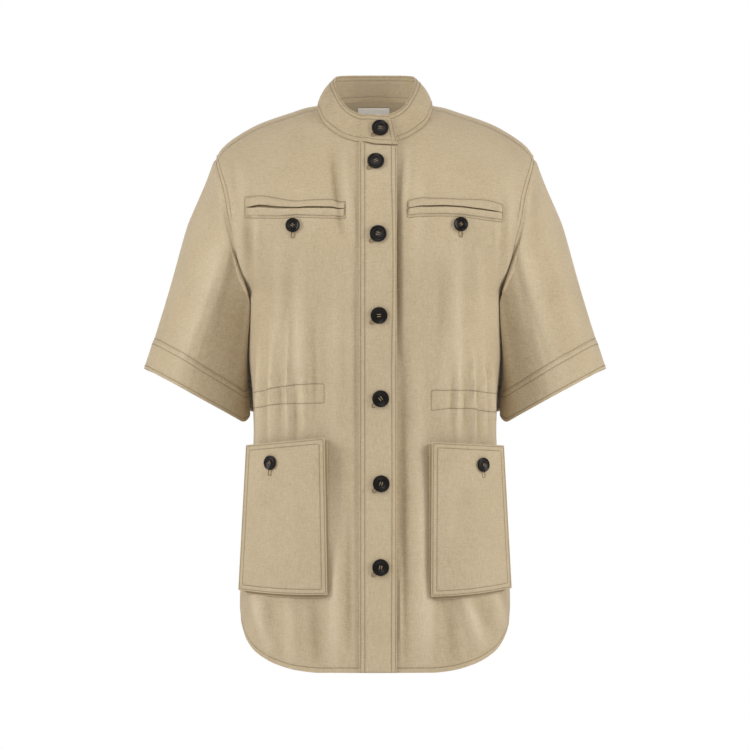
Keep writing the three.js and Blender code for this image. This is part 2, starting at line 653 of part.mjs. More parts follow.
// One welt, between the pocket's outline and the slit: upper is 1 above the slit and -1 below
function welt(name, side, upper) {
  const lines = WELT_LINES[side];
  const first = lines[0].x;
  const last = lines[lines.length - 1].x;
  const columns = Array.from({ length: WELT_STEPS }, (_, k) => mix(first, last, k / (WELT_STEPS - 1)));
  const grid = [0, 0.5, 1].map((t) => columns.map((x) => {
    const at = (column) => read(lines, 'x', x, column);
    const lip = at('slit') + (upper * at('gape')) / 2;
    const puff = t === 0.5 ? WELT.puff : 0;
    return { x: side * x, z: mix(lip, at(upper > 0 ? 'top' : 'bottom'), t), puff };
  }));
  const low = grid.map((row) => row.map(({ x, z }) => skin(FRONT, x, z, LIFT)));
  const face = LIFT + WELT.thick;
  const high = grid.map((row) => row.map(({ x, z, puff }) => skin(FRONT, x, z, face + puff)));
  return wall(name, KHAKI, high, low);
}

// Hip pockets: a patch that stands off the body on a folded gusset down its sides and bottom.
// Corners are seen from the front. POCKET_STAND is how far the edge by the middle stands off the
// body, and POCKET_OUT where the outer edge lies.
const POCKET = {
  [RIGHT]: { innerX: 65.6, innerLowX: 62, topIn: -426, topOut: -435.5, lowIn: -630.5, lowOut: -624 },
  [LEFT]: { innerX: 74, innerLowX: 73, topIn: -431.5, topOut: -436, lowIn: -633, lowOut: -621.5 },
};
const POCKET_OUT = { topX: 168, lowX: 178, topY: -60, lowY: -62 };
const POCKET_STAND = { top: 16, low: 10 };
const POCKET_SAG = 2.5;
const POCKET_BELLY = 0.76;
const POCKET_SIZE = { wide: 112, tall: 200 };
const GUSSET = { thick: 1.2, inset: 2, fold: 7, depth: 0.45, footOut: 4.5, outerFoot: 0.952 };

function patchPoint(side, across, up) {
  const p = POCKET[side];
  const innerX = mix(p.innerLowX, p.innerX, up);
  const x = mix(innerX, mix(POCKET_OUT.lowX, POCKET_OUT.topX, up), across);
  const sag = POCKET_SAG * Math.sin(Math.PI * clamp(across, 0, 1)) * (1 - up);
  const z = mix(mix(p.lowIn, p.lowOut, across) - sag, mix(p.topIn, p.topOut, across), up);
  const innerY = -depth(FRONT, innerX, z) - mix(POCKET_STAND.low, POCKET_STAND.top, up);
  const outerY = mix(POCKET_OUT.lowY, POCKET_OUT.topY, up);
  const bend = (1 - POCKET_BELLY) * across + POCKET_BELLY * across * across;
  return vec(side * x, mix(innerY, outerY, bend), z);
}

function patchOutward(side, across, up) {
  const step = 0.02;
  const right = patchPoint(side, across + step, up).sub(patchPoint(side, across - step, up));
  const rise = patchPoint(side, across, up + step).sub(patchPoint(side, across, up - step));
  const out = right.cross(rise).normalize();
  return out.y < 0 ? out : out.negate();
}

const patchOffset = (side, across, up, offset) => (
  patchPoint(side, across, up).addScaledVector(patchOutward(side, across, up), offset));

function pocketFront(name, side) {
  const steps = [0, 0.12, 0.28, 0.46, 0.64, 0.82, 1];
  const rises = [0, 0.1, 0.3, 0.5, 0.7, 0.9, 1];
  const face = (offset) => rises.map((up) => steps.map((across) => patchOffset(side, across, up, offset)));
  return wall(name, KHAKI, face(0), face(-CLOTH));
}

// Stations down the edge by the middle, along the bottom and up the outer edge of a pocket. The
// turns say which way the pocket's middle lies from each.
function gussetPath() {
  const sides = [0.985, 0.82, 0.64, 0.46, 0.28, 0.12];
  const bottom = Array.from({ length: 10 }, (_, k) => 0.1 + 0.8 * (k / 9));
  return [
    ...sides.map((up) => ({ across: 0, up, turnX: 1, turnZ: 0 })),
    { across: 0.02, up: 0.02, turnX: 0.7, turnZ: 0.7 },
    ...bottom.map((across) => ({ across, up: 0, turnX: 0, turnZ: 1 })),
    { across: 0.98, up: 0.02, turnX: -0.7, turnZ: 0.7 },
    ...[...sides].reverse().map((up) => ({ across: 1, up, turnX: -1, turnZ: 0 })),
  ];
}

function gussetFoot(side, { across, up, turnX, turnZ }) {
  const edge = patchPoint(side, across, up);
  const z = edge.z - GUSSET.footOut * turnZ;
  const outerX = read(BODY, 'z', z, 'half') * GUSSET.outerFoot;
  const innerX = Math.abs(patchPoint(side, 0, up).x) - GUSSET.footOut * Math.max(0, turnX);
  const x = side * mix(innerX, outerX, across);
  return skin(FRONT, x, z, LIFT);
}

function gussetSection(side, station) {
  const under = (distance) => {
    const across = station.across + (station.turnX * distance) / POCKET_SIZE.wide;
    const up = station.up + (station.turnZ * distance) / POCKET_SIZE.tall;
    return patchOffset(side, across, up, -CLOTH - LIFT);
  };
  const foot = gussetFoot(side, station);
  const pleat = under(GUSSET.inset + GUSSET.fold).lerp(foot, GUSSET.depth);
  return [under(GUSSET.inset), pleat, foot];
}

// Gusset wall: a strip folded in between the patch and the body, thickened into the open fold
function gusset(name, side) {
  const path = gussetPath();
  const outer = path.map((station) => gussetSection(side, station));
  const inner = outer.map((row, i) => {
    const directions = row.map((point, j) => {
      const next = outer[Math.min(i + 1, outer.length - 1)][j].clone();
      const down = next.sub(outer[Math.max(i - 1, 0)][j]);
      const over = row[Math.min(j + 1, 2)].clone().sub(row[Math.max(j - 1, 0)]);
      return down.cross(over).normalize();
    });
    const { across, up } = path[i];
    const facing = Math.sign(directions[0].dot(patchOutward(side, across, up)));
    return row.map((point, j) => point.clone().addScaledVector(directions[j], -facing * GUSSET.thick));
  });
  return wall(name, KHAKI, outer, inner);
}

// Buttons: a turned disc with a raised rim and four holes
const BUTTON_SIDES = 16;
const BUTTON_RIM = [
  { r: 0, h: 1.5 }, { r: 0.55, h: 1.7 }, { r: 0.72, h: 2.9 }, { r: 0.9, h: 3 },
  { r: 1, h: 1.9 }, { r: 0.9, h: 0.3 }, { r: 0.5, h: 0 }, { r: 0, h: 0 },
];
const HOLE = { radius: 1.1, place: 0.2 };

function solid(geometry) {
  for (const extra of ['normal', 'uv']) geometry.deleteAttribute(extra);
  const merged = mergeVertices(geometry, 1e-4);
  const vertProperties = new Float32Array(merged.attributes.position.array);
  const triVerts = new Uint32Array(merged.index.array);
  return new wasm.Manifold(new wasm.Mesh({ numProp: 3, vertProperties, triVerts }));
}

function buttonGeometry(radius) {
  const profile = BUTTON_RIM.map(({ r, h }) => new THREE.Vector2(r * radius, h)).reverse();
  const disc = new THREE.LatheGeometry(profile, BUTTON_SIDES);
  disc.rotateX(Math.PI / 2);
  let body = solid(disc);
  for (let k = 0; k < 4; k += 1) {
    const pin = new THREE.CylinderGeometry(HOLE.radius, HOLE.radius, 8, 6);
    pin.rotateX(Math.PI / 2);
    const turn = Math.PI / 4 + (k * Math.PI) / 2;
    const away = HOLE.place * radius * Math.SQRT2;
    pin.translate(away * Math.cos(turn), away * Math.sin(turn), 1);
    body = body.subtract(solid(pin));
  }
  const { vertProperties, triVerts } = body.getMesh();
  const geometry = new THREE.BufferGeometry();
  geometry.setAttribute('position', new THREE.BufferAttribute(new Float32Array(vertProperties), 3));
  geometry.setIndex([...triVerts]);
  return geometry;
}

function button(name, radius, seat, out) {
  const mesh = named(name, HORN, buttonGeometry(radius));
  mesh.quaternion.setFromUnitVectors(vec(0, 0, 1), out);
  mesh.position.copy(seat);
  return mesh;
}

function bodyButton(name, radius, x, z, offset) {
  const y = -depth(FRONT, x, z);
  return button(name, radius, skin(FRONT, x, z, offset), outward(FRONT, x, y, z));
}

const FRONT_BUTTONS = [
  { x: 1, z: -68 },
  { x: 4, z: -161.2 },
  { x: 5.2, z: -266.5 },
  { x: 7.3, z: -375.2 },
  { x: 8, z: -486.2 },
  { x: 7.3, z: -595.1 },
];
const FRONT_BUTTON = 11;
const COLLAR_BUTTON = { x: 7.3, up: 0.53 };
const SMALL_BUTTON = 9.4;
const CHEST_BUTTON = { [RIGHT]: { x: -106.6, z: -149.8 }, [LEFT]: { x: 111.3, z: -148.5 } };
const POCKET_BUTTON = { [RIGHT]: { across: 0.675, up: 0.865 }, [LEFT]: { across: 0.69, up: 0.86 } };

function collarButton() {
  const { x, up } = COLLAR_BUTTON;
  const across = collarPoint(tabStation(x + 1), up, 0).sub(collarPoint(tabStation(x - 1), up, 0));
  const rise = collarPoint(tabStation(x), 1, 0).sub(collarPoint(tabStation(x), 0, 0));
  const out = across.cross(rise).normalize();
  const seat = collarPoint(tabStation(x), up, 0).addScaledVector(out, LIFT);
  return button('button_collar', FRONT_BUTTON, seat, out);
}

function pocketButton(name, side) {
  const { across, up } = POCKET_BUTTON[side];
  return button(name, SMALL_BUTTON, patchOffset(side, across, up, LIFT), patchOutward(side, across, up));
}

// Blank label inside the back, under the collar
function label() {
  const columns = [-23, -9, 5, 19.5];
  const grid = [4.5, -3, -10, -17].map((z) => columns.map((x) => ({ x, z })));
  return laid('label', TAPE, BACK, grid, -CLOTH - 2 * LIFT - TAPE_THICK, -CLOTH - 2 * LIFT);
}

const jacket = new THREE.Group();
const sleeve = leftSleeve();
const cuff = leftCuff();
jacket.add(
  backPanel(),
  frontPanel('front_right', RIGHT, PLACKET.seam),
  frontPanel('front_left', LEFT, PLACKET.under),
  placket(),
  collar(),
  label(),
  sleeve,
  mirrored(sleeve, 'sleeve_right'),
  cuff,
  mirrored(cuff, 'cuff_right'),
  collarButton(),
);
for (const [side, word] of [[RIGHT, 'right'], [LEFT, 'left']]) {
  jacket.add(
    welt(`chest_welt_upper_${word}`, side, 1),
    welt(`chest_welt_lower_${word}`, side, -1),
    pocketFront(`pocket_front_${word}`, side),
    gusset(`pocket_gusset_${word}`, side),
    pocketButton(`button_pocket_${word}`, side),
    bodyButton(`button_chest_${word}`, SMALL_BUTTON, CHEST_BUTTON[side].x, CHEST_BUTTON[side].z, LIFT),
  );
}
FRONT_BUTTONS.forEach(({ x, z }, k) => {
  jacket.add(bodyButton(`button_front_${k + 1}`, FRONT_BUTTON, x, z, 2 * LIFT + BAND));
});

export default jacket;
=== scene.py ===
# Safari jacket with half sleeves, filled out as it is when worn, with nobody in it.
# The tables and forms are in millimetres, and the meshes in metres. +X is the wearer's left,
# -Y the front and +Z up, and the origin is the middle of the neck.
import functools
import math

import bpy
import numpy as np
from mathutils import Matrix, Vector


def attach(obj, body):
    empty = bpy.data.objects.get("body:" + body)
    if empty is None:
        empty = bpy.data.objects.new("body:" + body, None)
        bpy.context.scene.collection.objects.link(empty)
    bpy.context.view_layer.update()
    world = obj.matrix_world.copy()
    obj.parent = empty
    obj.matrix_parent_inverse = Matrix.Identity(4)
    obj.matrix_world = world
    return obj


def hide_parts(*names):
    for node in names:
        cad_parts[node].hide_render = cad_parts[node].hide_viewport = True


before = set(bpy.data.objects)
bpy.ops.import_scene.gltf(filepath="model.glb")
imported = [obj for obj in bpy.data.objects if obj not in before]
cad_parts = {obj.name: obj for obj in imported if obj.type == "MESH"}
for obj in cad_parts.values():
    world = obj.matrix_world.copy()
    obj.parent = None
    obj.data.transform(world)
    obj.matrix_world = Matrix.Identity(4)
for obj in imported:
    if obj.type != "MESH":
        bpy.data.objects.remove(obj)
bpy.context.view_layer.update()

MM = 0.001
FRONT, BACK = -1, 1
RIGHT, LEFT = -1, 1
SIDES = ((RIGHT, "right"), (LEFT, "left"))


def table(columns, *rows):
    """A table of sizes: the names of its columns, then a row for each section or fold."""
    return {name: np.array([row[k] for row in rows], float) for k, name in enumerate(columns.split())}


def folds(*rows):
    return table("x1 z1 x2 z2 width height", *rows)


def sleeve_folds(*rows):
    return table("angle start stop width height", *rows)


# One layer of cloth and two, the gap at a seam, and how far a piece lies off the one under it
CLOTH, BAND = 1.3, 2.0
SEAM = 0.4
LIFT = 0.6

# Body sections from the hem up: half width and depth to the front and to the back
BODY = table(
    "z half front back",
    (-745, 176, 124, 117), (-640, 176.5, 124, 118), (-590, 175, 122, 116), (-520, 168.5, 118, 110),
    (-450, 160, 114, 100), (-415, 158.6, 112, 94), (-370, 160.5, 113, 92), (-316, 165.5, 118, 96),
    (-270, 166.5, 123, 101), (-242, 168, 126, 105), (-214, 181, 128, 108), (-176, 203, 129, 111),
    (-110, 237, 129, 113), (-60, 250, 128, 112), (60, 250, 128, 112),
)
SQUARENESS = 2.4
UNDERARM = -242

# Heights above which the front and the back lean in to the shoulder, and how roundly
LEAN_FROM = {FRONT: -200, BACK: -150}
LEAN_ROUND = {FRONT: 1.8, BACK: 2}

RIDGE = table(
    "x z",
    (74, 5.5), (87, 3.4), (108, -3.2), (150, -18), (179, -34), (198, -49), (209, -65),
)
NECK_HALF = 74
NECK_RISE = {FRONT: 9, BACK: 35}
NECK_ROUND = 1.3
SHOULDER_SEAM_DROP = 4
SHOULDER_SEAM_GAP = 0.3
SHOULDER_TIP = 208.5

ARMHOLE = table(
    "z x",
    (-242, 168), (-214.5, 173), (-175.5, 182), (-140, 191), (-110.5, 196), (-69, 207), (-60, 208.5),
)
NECKLINE = {
    FRONT: table("x z", (0, -43), (23, -40), (38, -36), (53, -27.5), (67, -15), (74, 1.2)),
    BACK: table("x z", (0, 13), (40, 10.5), (62, 6.6), (74, 5.5)),
}

HEM = -732
HEM_LINE = table(
    "share rise",
    (0, 0), (0.42, 0.4), (0.56, 3), (0.73, 11.5), (0.88, 27.5), (0.945, 43), (0.975, 58),
    (0.993, 74), (1, 86),
)

# Folds of the body cloth between two heights: width is from the crest to the foot, height is how
# far it stands out, and a trough has a height below 0.
FOLD_END = 0.8
FOLDS = {
    FRONT: folds(
        (-92, -262, -95, -452, 9, 2.2), (-110, -288, -113, -470, 8.5, 2.8),
        (-132, -270, -134, -462, 8, 3), (-150, -300, -150, -470, 5.5, 2.4),
        (90, -276, 94, -446, 9, 1.8), (108, -262, 110, -468, 8.5, 2.6),
        (127, -300, 128, -470, 8, 3), (140, -282, 145, -458, 6.5, 2.6),
        (154, -310, 154, -450, 4, 1.6), (-178, -62, -172, -250, 15, 3.4),
        (176, -66, 170, -230, 14, 2.4), (-66, -470, -52, -742, 22, 3.2),
        (62, -440, 56, -738, 24, 2.8),
    ),
    BACK: folds(
        (-150, -300, -149, -476, 6, 2.2), (-134, -270, -137, -490, 7.5, 2.8),
        (-114, -290, -113, -470, 9, 2.4), (-90, -262, -92, -496, 10.5, 3),
        (-62, -296, -65, -478, 11.5, 2.4), (-34, -268, -36, -500, 12.5, 3),
        (-3, -286, -5, -474, 12, 2.6), (28, -258, 26, -492, 12, 2.8),
        (56, -292, 58, -480, 11.5, 2.4), (84, -266, 86, -498, 11, 3),
        (108, -288, 109, -472, 9.5, 2.5), (130, -272, 132, -488, 8, 2.8),
        (149, -304, 149, -470, 6, 2.2),
    ),
}

# Softer creases between and beside the main folds
CREASES = {
    FRONT: folds(
        (-82, -310, -83, -400, 5, 1.6), (-93, -320, -92, -452, 4.2, 2.4),
        (-112, -262, -114, -430, 4.6, 3.0), (-134, -300, -136, -456, 4.4, 3.0),
        (-151, -290, -152, -452, 4, 3.2), (-103, -336, -101, -440, 4, -2.6),
        (-123, -330, -124, -440, 4, -2.8), (-143, -330, -144, -440, 3.6, -2.6),
        (84, -330, 83, -398, 5, 1.4), (107, -300, 106, -440, 4.4, 2.8), (126, -296, 127, -446, 4.2, 3.2),
        (140, -310, 142, -446, 3.6, 3.2), (152, -320, 154, -440, 3.2, 2.8),
        (116, -334, 117, -436, 3.8, -2.6), (133, -334, 134.5, -432, 3.4, -2.8),
        (147, -330, 148, -430, 3, -2.6),
        (138, -322, 151, -352, 3, -2.6), (99, -340, 97, -430, 4, -1.8),
        (-42, -44, -30, -180, 10, 4.4), (-58, -38, -42, -170, 9, -3.6),
        (-24.5, -60, -24, -725, 4, -0.6), (-34, -200, -33, -440, 9, 1.4),
        (44, -46, 40, -130, 8, 3), (60, -50, 52, -230, 14, 2.4),
        (29, -66, 30, -335, 7.5, -6.4), (33, -290, 37, -738, 16, -6.2),
        (56, -300, 60, -560, 12, 2.8), (33, -560, 34, -740, 5, 3.4), (66, -420, 60, -735, 13, 3.2),
        (-97, -190, -99, -400, 11, 4.4), (-80, -250, -78, -420, 9, -2.6),
        (-52, -210, -56, -440, 14, 2.4), (-120, -150, -128, -330, 13, 2.4),
        (106, -160, 104, -370, 12, 4.4), (86, -190, 84, -330, 11, -2.4),
        (132, -170, 140, -300, 11, 2.2), (-166, -120, -160, -246, 9, -4),
        (-186, -60, -172, -160, 8, -2.6), (-150, -96, -158, -230, 10, 2.4),
        (158, -100, 160, -226, 9, 2.2), (168, -110, 162, -240, 8, -3.6),
        (-158, -614, -134, -712, 15, 7), (-131, -628, -143, -704, 14, -2.8),
        (-112, -628, -106, -732, 13, 4.6), (-78, -632, -72, -732, 14, -3),
        (-50, -560, -53, -738, 11, 4.6), (-36, -500, -34, -738, 8, -2.6),
        (112, -624, 138, -706, 15, 7.4), (150, -614, 168, -680, 12, 5.4),
        (92, -628, 102, -730, 15, -3.6), (72, -600, 66, -732, 12, 3.6),
        (133, -630, 156, -692, 12, -2.8),
    ),
    BACK: folds(
        (-124, -340, -125, -424, 5, 1), (-101, -336, -102, -430, 5, -1),
        (-76, -345, -78, -426, 5, 1.1), (-48, -340, -50, -428, 5, -1), (-20, -346, -21, -424, 5, 1),
        (12, -340, 11, -430, 5, -1), (42, -344, 41, -426, 5, 1.1), (70, -338, 72, -424, 5, -1),
        (97, -346, 98, -428, 5, 1), (120, -340, 121, -426, 4.5, 1),
        (-150, -90, -160, -240, 14, 2), (150, -84, 160, -236, 14, 1.8),
        (-70, -30, -96, -220, 22, 1.6), (72, -26, 100, -230, 24, 1.7), (0, -40, 4, -260, 26, 1.2),
        (-120, -500, -132, -700, 20, 2.4), (-58, -520, -62, -725, 22, 2.2),
        (8, -510, 4, -728, 24, 2.4), (70, -516, 76, -722, 22, 2.3), (128, -500, 138, -695, 20, 2.4),
    ),
}

# The placket stands off the left front towards its free edge, by the gape at each height
PLACKET_FROM, PLACKET_TO = -20.5, 28.5
PLACKET_GAPE_FROM = 6
PLACKET_COLUMNS = 24
PLACKET_UNDER_TAB, PLACKET_SHORT = 1, 0.5
PLACKET_GAPE = table(
    "z gape",
    (-732, 1.2), (-560, 1.6), (-420, 1.4), (-300, 2.4), (-170, 3.4), (-90, 3.2), (-50, 1.2),
)
FRONT_EDGE = {RIGHT: -18.7, LEFT: -14}

# Rows of cloth from the hem up, and columns from the middle to the side
HEM_CROWDING = 1.15
HEM_STEPS = np.linspace(0, 1, 30)[:-1] ** HEM_CROWDING
HEM_END, LEVEL_STEP = -640, 3.1
LEVELS = np.arange(HEM_END, UNDERARM - 1, LEVEL_STEP)
YOKE = np.linspace(0, 1, 118)
OVER_RIDGE = 0.93
FRONT_COLUMNS, BACK_COLUMNS = 66, 63
CORNER_GAP = 0.0004


def mix(a, b, t):
    return a + (b - a) * t


def ease(t):
    t = np.clip(t, 0, 1)
    return t * t * (3 - 2 * t)


def vec(x, y, z):
    return np.stack(np.broadcast_arrays(np.asarray(x, float), y, z), axis=-1)


def unit(v):
    return v / np.maximum(np.linalg.norm(v, axis=-1, keepdims=True), 1e-12)


def read(rows, key, place, column):
    """The named column at a place, on a smooth curve that never overshoots its rows."""
    xs, ys = rows[key], rows[column]
    rise = np.diff(ys) / np.diff(xs)
    product, total = rise[:-1] * rise[1:], rise[:-1] + rise[1:]
    inner = np.where(product > 0, 2 * product / np.where(product > 0, total, 1), 0)
    slope = np.concatenate(([rise[0]], inner, [rise[-1]]))
    at = np.clip(place, xs[0], xs[-1])
    k = np.clip(np.searchsorted(xs, at, side="right") - 1, 0, len(xs) - 2)
    span = xs[k + 1] - xs[k]
    t = (at - xs[k]) / span
    start = ys[k] * (1 + 2 * t) * (1 - t) ** 2 + slope[k] * span * t * (1 - t) ** 2
    end = ys[k + 1] * t * t * (3 - 2 * t) - slope[k + 1] * span * t * t * (1 - t)
    return start + end


def ridge(side, x):
    inside = np.maximum(0, 1 - (x / NECK_HALF) ** 2)
    return read(RIDGE, "x", np.abs(x), "z") + NECK_RISE[side] * inside ** NECK_ROUND


def full_depth(side, z):
    return read(BODY, "z", z, "front" if side == FRONT else "back")


def section(share):
    """The body's round section: its depth at a share of the way across, as a share of the whole."""
    return np.maximum(0, 1 - share ** SQUARENESS) ** (1 / SQUARENESS)


def depth(side, x, z):
    """Depth of the body cloth in front of or behind the middle, at a place seen from the front."""
    half, full = read(BODY, "z", z, "half"), full_depth(side, z)
    up = np.clip((z - LEAN_FROM[side]) / (ridge(side, x) - LEAN_FROM[side]), 0, 1)
    return full * section(np.abs(x) / half) * (1 - up ** LEAN_ROUND[side]) ** (1 / LEAN_ROUND[side])


def outward(side, x, y, z):
    """Outward direction of the body cloth at a point on it."""
    step = 0.6
    full = full_depth(side, z)

    def level(px, py, pz):
        return (py / full) ** 2 - (depth(side, px, pz) / full) ** 2

    return unit(vec(
        level(x + step, y, z) - level(x - step, y, z),
        level(x, y + step, z) - level(x, y - step, z),
        level(x, y, z + step) - level(x, y, z - step),
    ))


def swelling(down, off, height, end=1):
    """Height of a fold at a share of its length down and of its half width out."""
    on = (down > 0) & (down < 1) & (off < 1)
    along = np.sin(np.pi * np.clip(down, 0, 1)) ** end
    return np.where(on, height * along * np.cos(np.pi / 2 * np.minimum(off, 1)) ** 2, 0)


def fold_height(rows, x, z):
    lift = np.zeros(np.broadcast(x, z).shape)
    for x1, z1, x2, z2, width, height in zip(*rows.values()):
        down = (z1 - z) / (z1 - z2)
        lift += swelling(down, np.abs(x - mix(x1, x2, down)) / width, height, FOLD_END)
    return lift


def all_folds(side, x, z):
    return fold_height(FOLDS[side], x, z) + fold_height(CREASES[side], x, z)


def face_y(side, x, z):
    return side * np.maximum(SEAM / 2, depth(side, x, z))


def skin(side, x, z, offset=0.0):
    """Point of the body cloth's outer face, moved out by an offset; side may be an array."""
    x, z, side = np.broadcast_arrays(np.asarray(x, float), np.asarray(z, float), side)
    points = np.empty(x.shape + (3,))
    for way in (FRONT, BACK):
        y = face_y(way, x, z)
        lift = all_folds(way, x, z) + offset
        there = vec(x, y, z) + outward(way, x, y, z) * lift[..., None]
        points[side == way] = there[side == way]
    return points


def hem(share):
    return HEM + read(HEM_LINE, "share", np.minimum(1, np.abs(share)), "rise")


def reach(z):
    """Half width of the panels: the side seam's below the underarm, the armhole's above it."""
    above = read(ARMHOLE, "z", z, "x") - SEAM / 2
    return np.where(np.asarray(z) > UNDERARM, above, read(BODY, "z", z, "half"))


def panel_top(side, x):
    neck = read(NECKLINE[side], "x", np.abs(x), "z")
    shoulder = ridge(FRONT, x) - SHOULDER_SEAM_DROP - (SHOULDER_SEAM_GAP if side == FRONT else 0)
    return np.where(np.abs(x) < NECK_HALF, neck, shoulder)


def yoke_places(side, top_x, steps=YOKE):
    """Sides and heights of the rows from the underarm up, one column for each top_x."""
    t = steps[:, None]
    top_x = np.atleast_1d(top_x)[None, :]
    if side == FRONT:
        z = mix(UNDERARM, panel_top(FRONT, top_x), t)
        return np.full(z.shape, FRONT), z
    plain = mix(UNDERARM, panel_top(BACK, top_x), np.sin(np.pi / 2 * t))
    climb = np.sin(np.pi / 2 * np.minimum(1, t / OVER_RIDGE))
    over = (np.maximum(0, t - OVER_RIDGE) / (1 - OVER_RIDGE)) ** 2
    behind = mix(UNDERARM, ridge(BACK, top_x), climb)
    before = ridge(FRONT, top_x) - SHOULDER_SEAM_DROP * over
    outer = np.abs(top_x) >= NECK_HALF - 0.01
    z = np.where(outer, np.where(t <= OVER_RIDGE, behind, before), plain)
    return np.where(outer & (t > OVER_RIDGE), FRONT, BACK) + 0 * z.astype(int), z


def shares_across(sign, edge, count):
    """Even shares of a panel's width, and two more where the shoulder seam meets the neck."""
    corner = (sign * NECK_HALF - edge) / (sign * (SHOULDER_TIP - SEAM / 2) - edge)
    return np.sort(np.append(np.linspace(0, 1, count), (corner - CORNER_GAP, corner + CORNER_GAP)))


def panel_places(side, sign, edge, shares):
    """Sides, places across and heights of a panel's points: rows from the hem up."""
    shares = np.asarray(shares, float)

    def across(z):
        return edge + (sign * reach(z) - edge) * shares[None, :]

    top_x = across(np.zeros((1, 1)))[0]
    low = hem(across(np.full((1, 1), float(HEM)))[0] / reach(float(HEM)))
    foot = mix(low[None, :], LEVELS[0], HEM_STEPS[:, None])
    waist = np.broadcast_to(LEVELS[:, None], (len(LEVELS), len(shares)))
    ways, yoke = yoke_places(side, top_x)
    z = np.concatenate((foot, waist, yoke))
    sides = np.concatenate((np.full(foot.shape, side), np.full(waist.shape, side), ways))
    return sides, across(z), z


# Sheets of cloth

def switch(mode):
    bpy.ops.object.mode_set(mode=mode)


def deselect():
    if bpy.context.object and bpy.context.object.mode != "OBJECT":
        switch("OBJECT")
    bpy.ops.object.select_all(action="DESELECT")


def points_of(piece):
    flat = np.empty(len(piece.data.vertices) * 3)
    piece.data.vertices.foreach_get("co", flat)
    return flat.reshape(-1, 3) / MM


def set_points(piece, places):
    piece.data.vertices.foreach_set("co", (places * MM).ravel())
    piece.data.update()


def set_look(piece, look):
    piece.data.materials.clear()
    piece.data.materials.append(look)


def apply_modifier(piece, kind, **settings):
    modifier = piece.modifiers.new(kind.lower(), kind)
    for name, value in settings.items():
        setattr(modifier, name, value)
    bpy.context.view_layer.objects.active = piece
    bpy.ops.object.modifier_apply(modifier=modifier.name)


def away_from(places, inside):
    """The way from a point inside to each place; None in it stands for the place's own."""
    return np.stack([0 * places[..., k] if p is None else places[..., k] - p
                     for k, p in enumerate(inside)], axis=-1)


def face_out(piece, inside):
    """Turns the faces away from a point inside."""
    centres, normals = np.empty((2, len(piece.data.polygons) * 3))
    piece.data.polygons.foreach_get("center", centres)
    piece.data.polygons.foreach_get("normal", normals)
    if (away_from(centres.reshape(-1, 3) / MM, inside) * normals.reshape(-1, 3)).sum() < 0:
        piece.data.flip_normals()


SHARP_FOLD, ROUNDED_EDGE = math.radians(48), math.radians(55)


def cloth(name, points, thick, inside, look, marks=(), ring=False, rounded=0.0):
    """A sheet laid on a form: a grid whose points are placed, given its thickness inwards."""
    rows, columns = points.shape[:2]
    deselect()
    bpy.ops.mesh.primitive_grid_add(x_subdivisions=columns - 1, y_subdivisions=rows - 1, size=1)
    piece = bpy.context.object
    piece.name = piece.data.name = name
    flat = points_of(piece) * MM + 0.5
    column = np.rint(flat[:, 0] * (columns - 1)).astype(int)
    row = np.rint(flat[:, 1] * (rows - 1)).astype(int)
    set_points(piece, points[row, column])
    for mark, values in dict(marks).items():
        layer = piece.data.attributes.new(mark, "FLOAT", "POINT")
        layer.data.foreach_set("value", values[row, column].astype(np.float32))
    if ring:
        switch("EDIT")
        bpy.ops.mesh.select_all(action="SELECT")
        bpy.ops.mesh.remove_doubles(threshold=0.01 * MM)
        switch("OBJECT")
    face_out(piece, inside)
    apply_modifier(piece, "SOLIDIFY", thickness=thick * MM, offset=-1, use_even_offset=False)
    if rounded:
        apply_modifier(piece, "BEVEL", width=rounded * MM, segments=2, limit_method="ANGLE",
                       angle_limit=ROUNDED_EDGE, use_clamp_overlap=True)
    bpy.ops.object.shade_smooth_by_angle(angle=SHARP_FOLD)
    set_look(piece, look)
    return piece


def arc(points, side):
    """Distance over the cloth from one of its sides: foot, top, near or far."""
    axis = 0 if side in ("foot", "top") else 1
    steps = np.linalg.norm(np.diff(points, axis=axis), axis=2)
    start = np.zeros_like(steps[:1] if axis == 0 else steps[:, :1])
    run = np.concatenate((start, np.cumsum(steps, axis=axis)), axis=axis)
    if side in ("foot", "near"):
        return run
    whole = run[-1:] if axis == 0 else run[:, -1:]
    return whole - run


def directions(points, inside):
    """Outward directions of a grid of points."""
    normal = unit(np.cross(np.gradient(points, axis=1), np.gradient(points, axis=0)))
    return normal * (1 if (normal * away_from(points, inside)).sum() > 0 else -1)


def run_of(places):
    """How far along a line each of its places lies."""
    return np.concatenate(([0], np.cumsum(np.linalg.norm(np.diff(places, axis=0), axis=1))))


def along_line(at, run, values):
    return np.stack([np.interp(at, run, values[:, k]) for k in range(3)], axis=-1)


def row_along(points, normals, side, distance, trim=(0, 0)):
    """Line of points and directions at a distance from one side, cut short at its two ends."""
    run = arc(points, side)
    if side in ("near", "far"):
        points, normals, run = (np.swapaxes(a, 0, 1) for a in (points, normals, run))
    orders = [(np.argsort(run[:, j]), j) for j in range(points.shape[1])]
    places, ways = (np.array([along_line(distance, run[k, j], values[k, j]) for k, j in orders])
                    for values in (points, normals))
    return cut(places, unit(ways), trim)


def cut(places, ways, trim):
    length = run_of(places)
    keep = (length >= trim[0]) & (length <= length[-1] - trim[1])
    return places[keep], ways[keep]


# Finishes

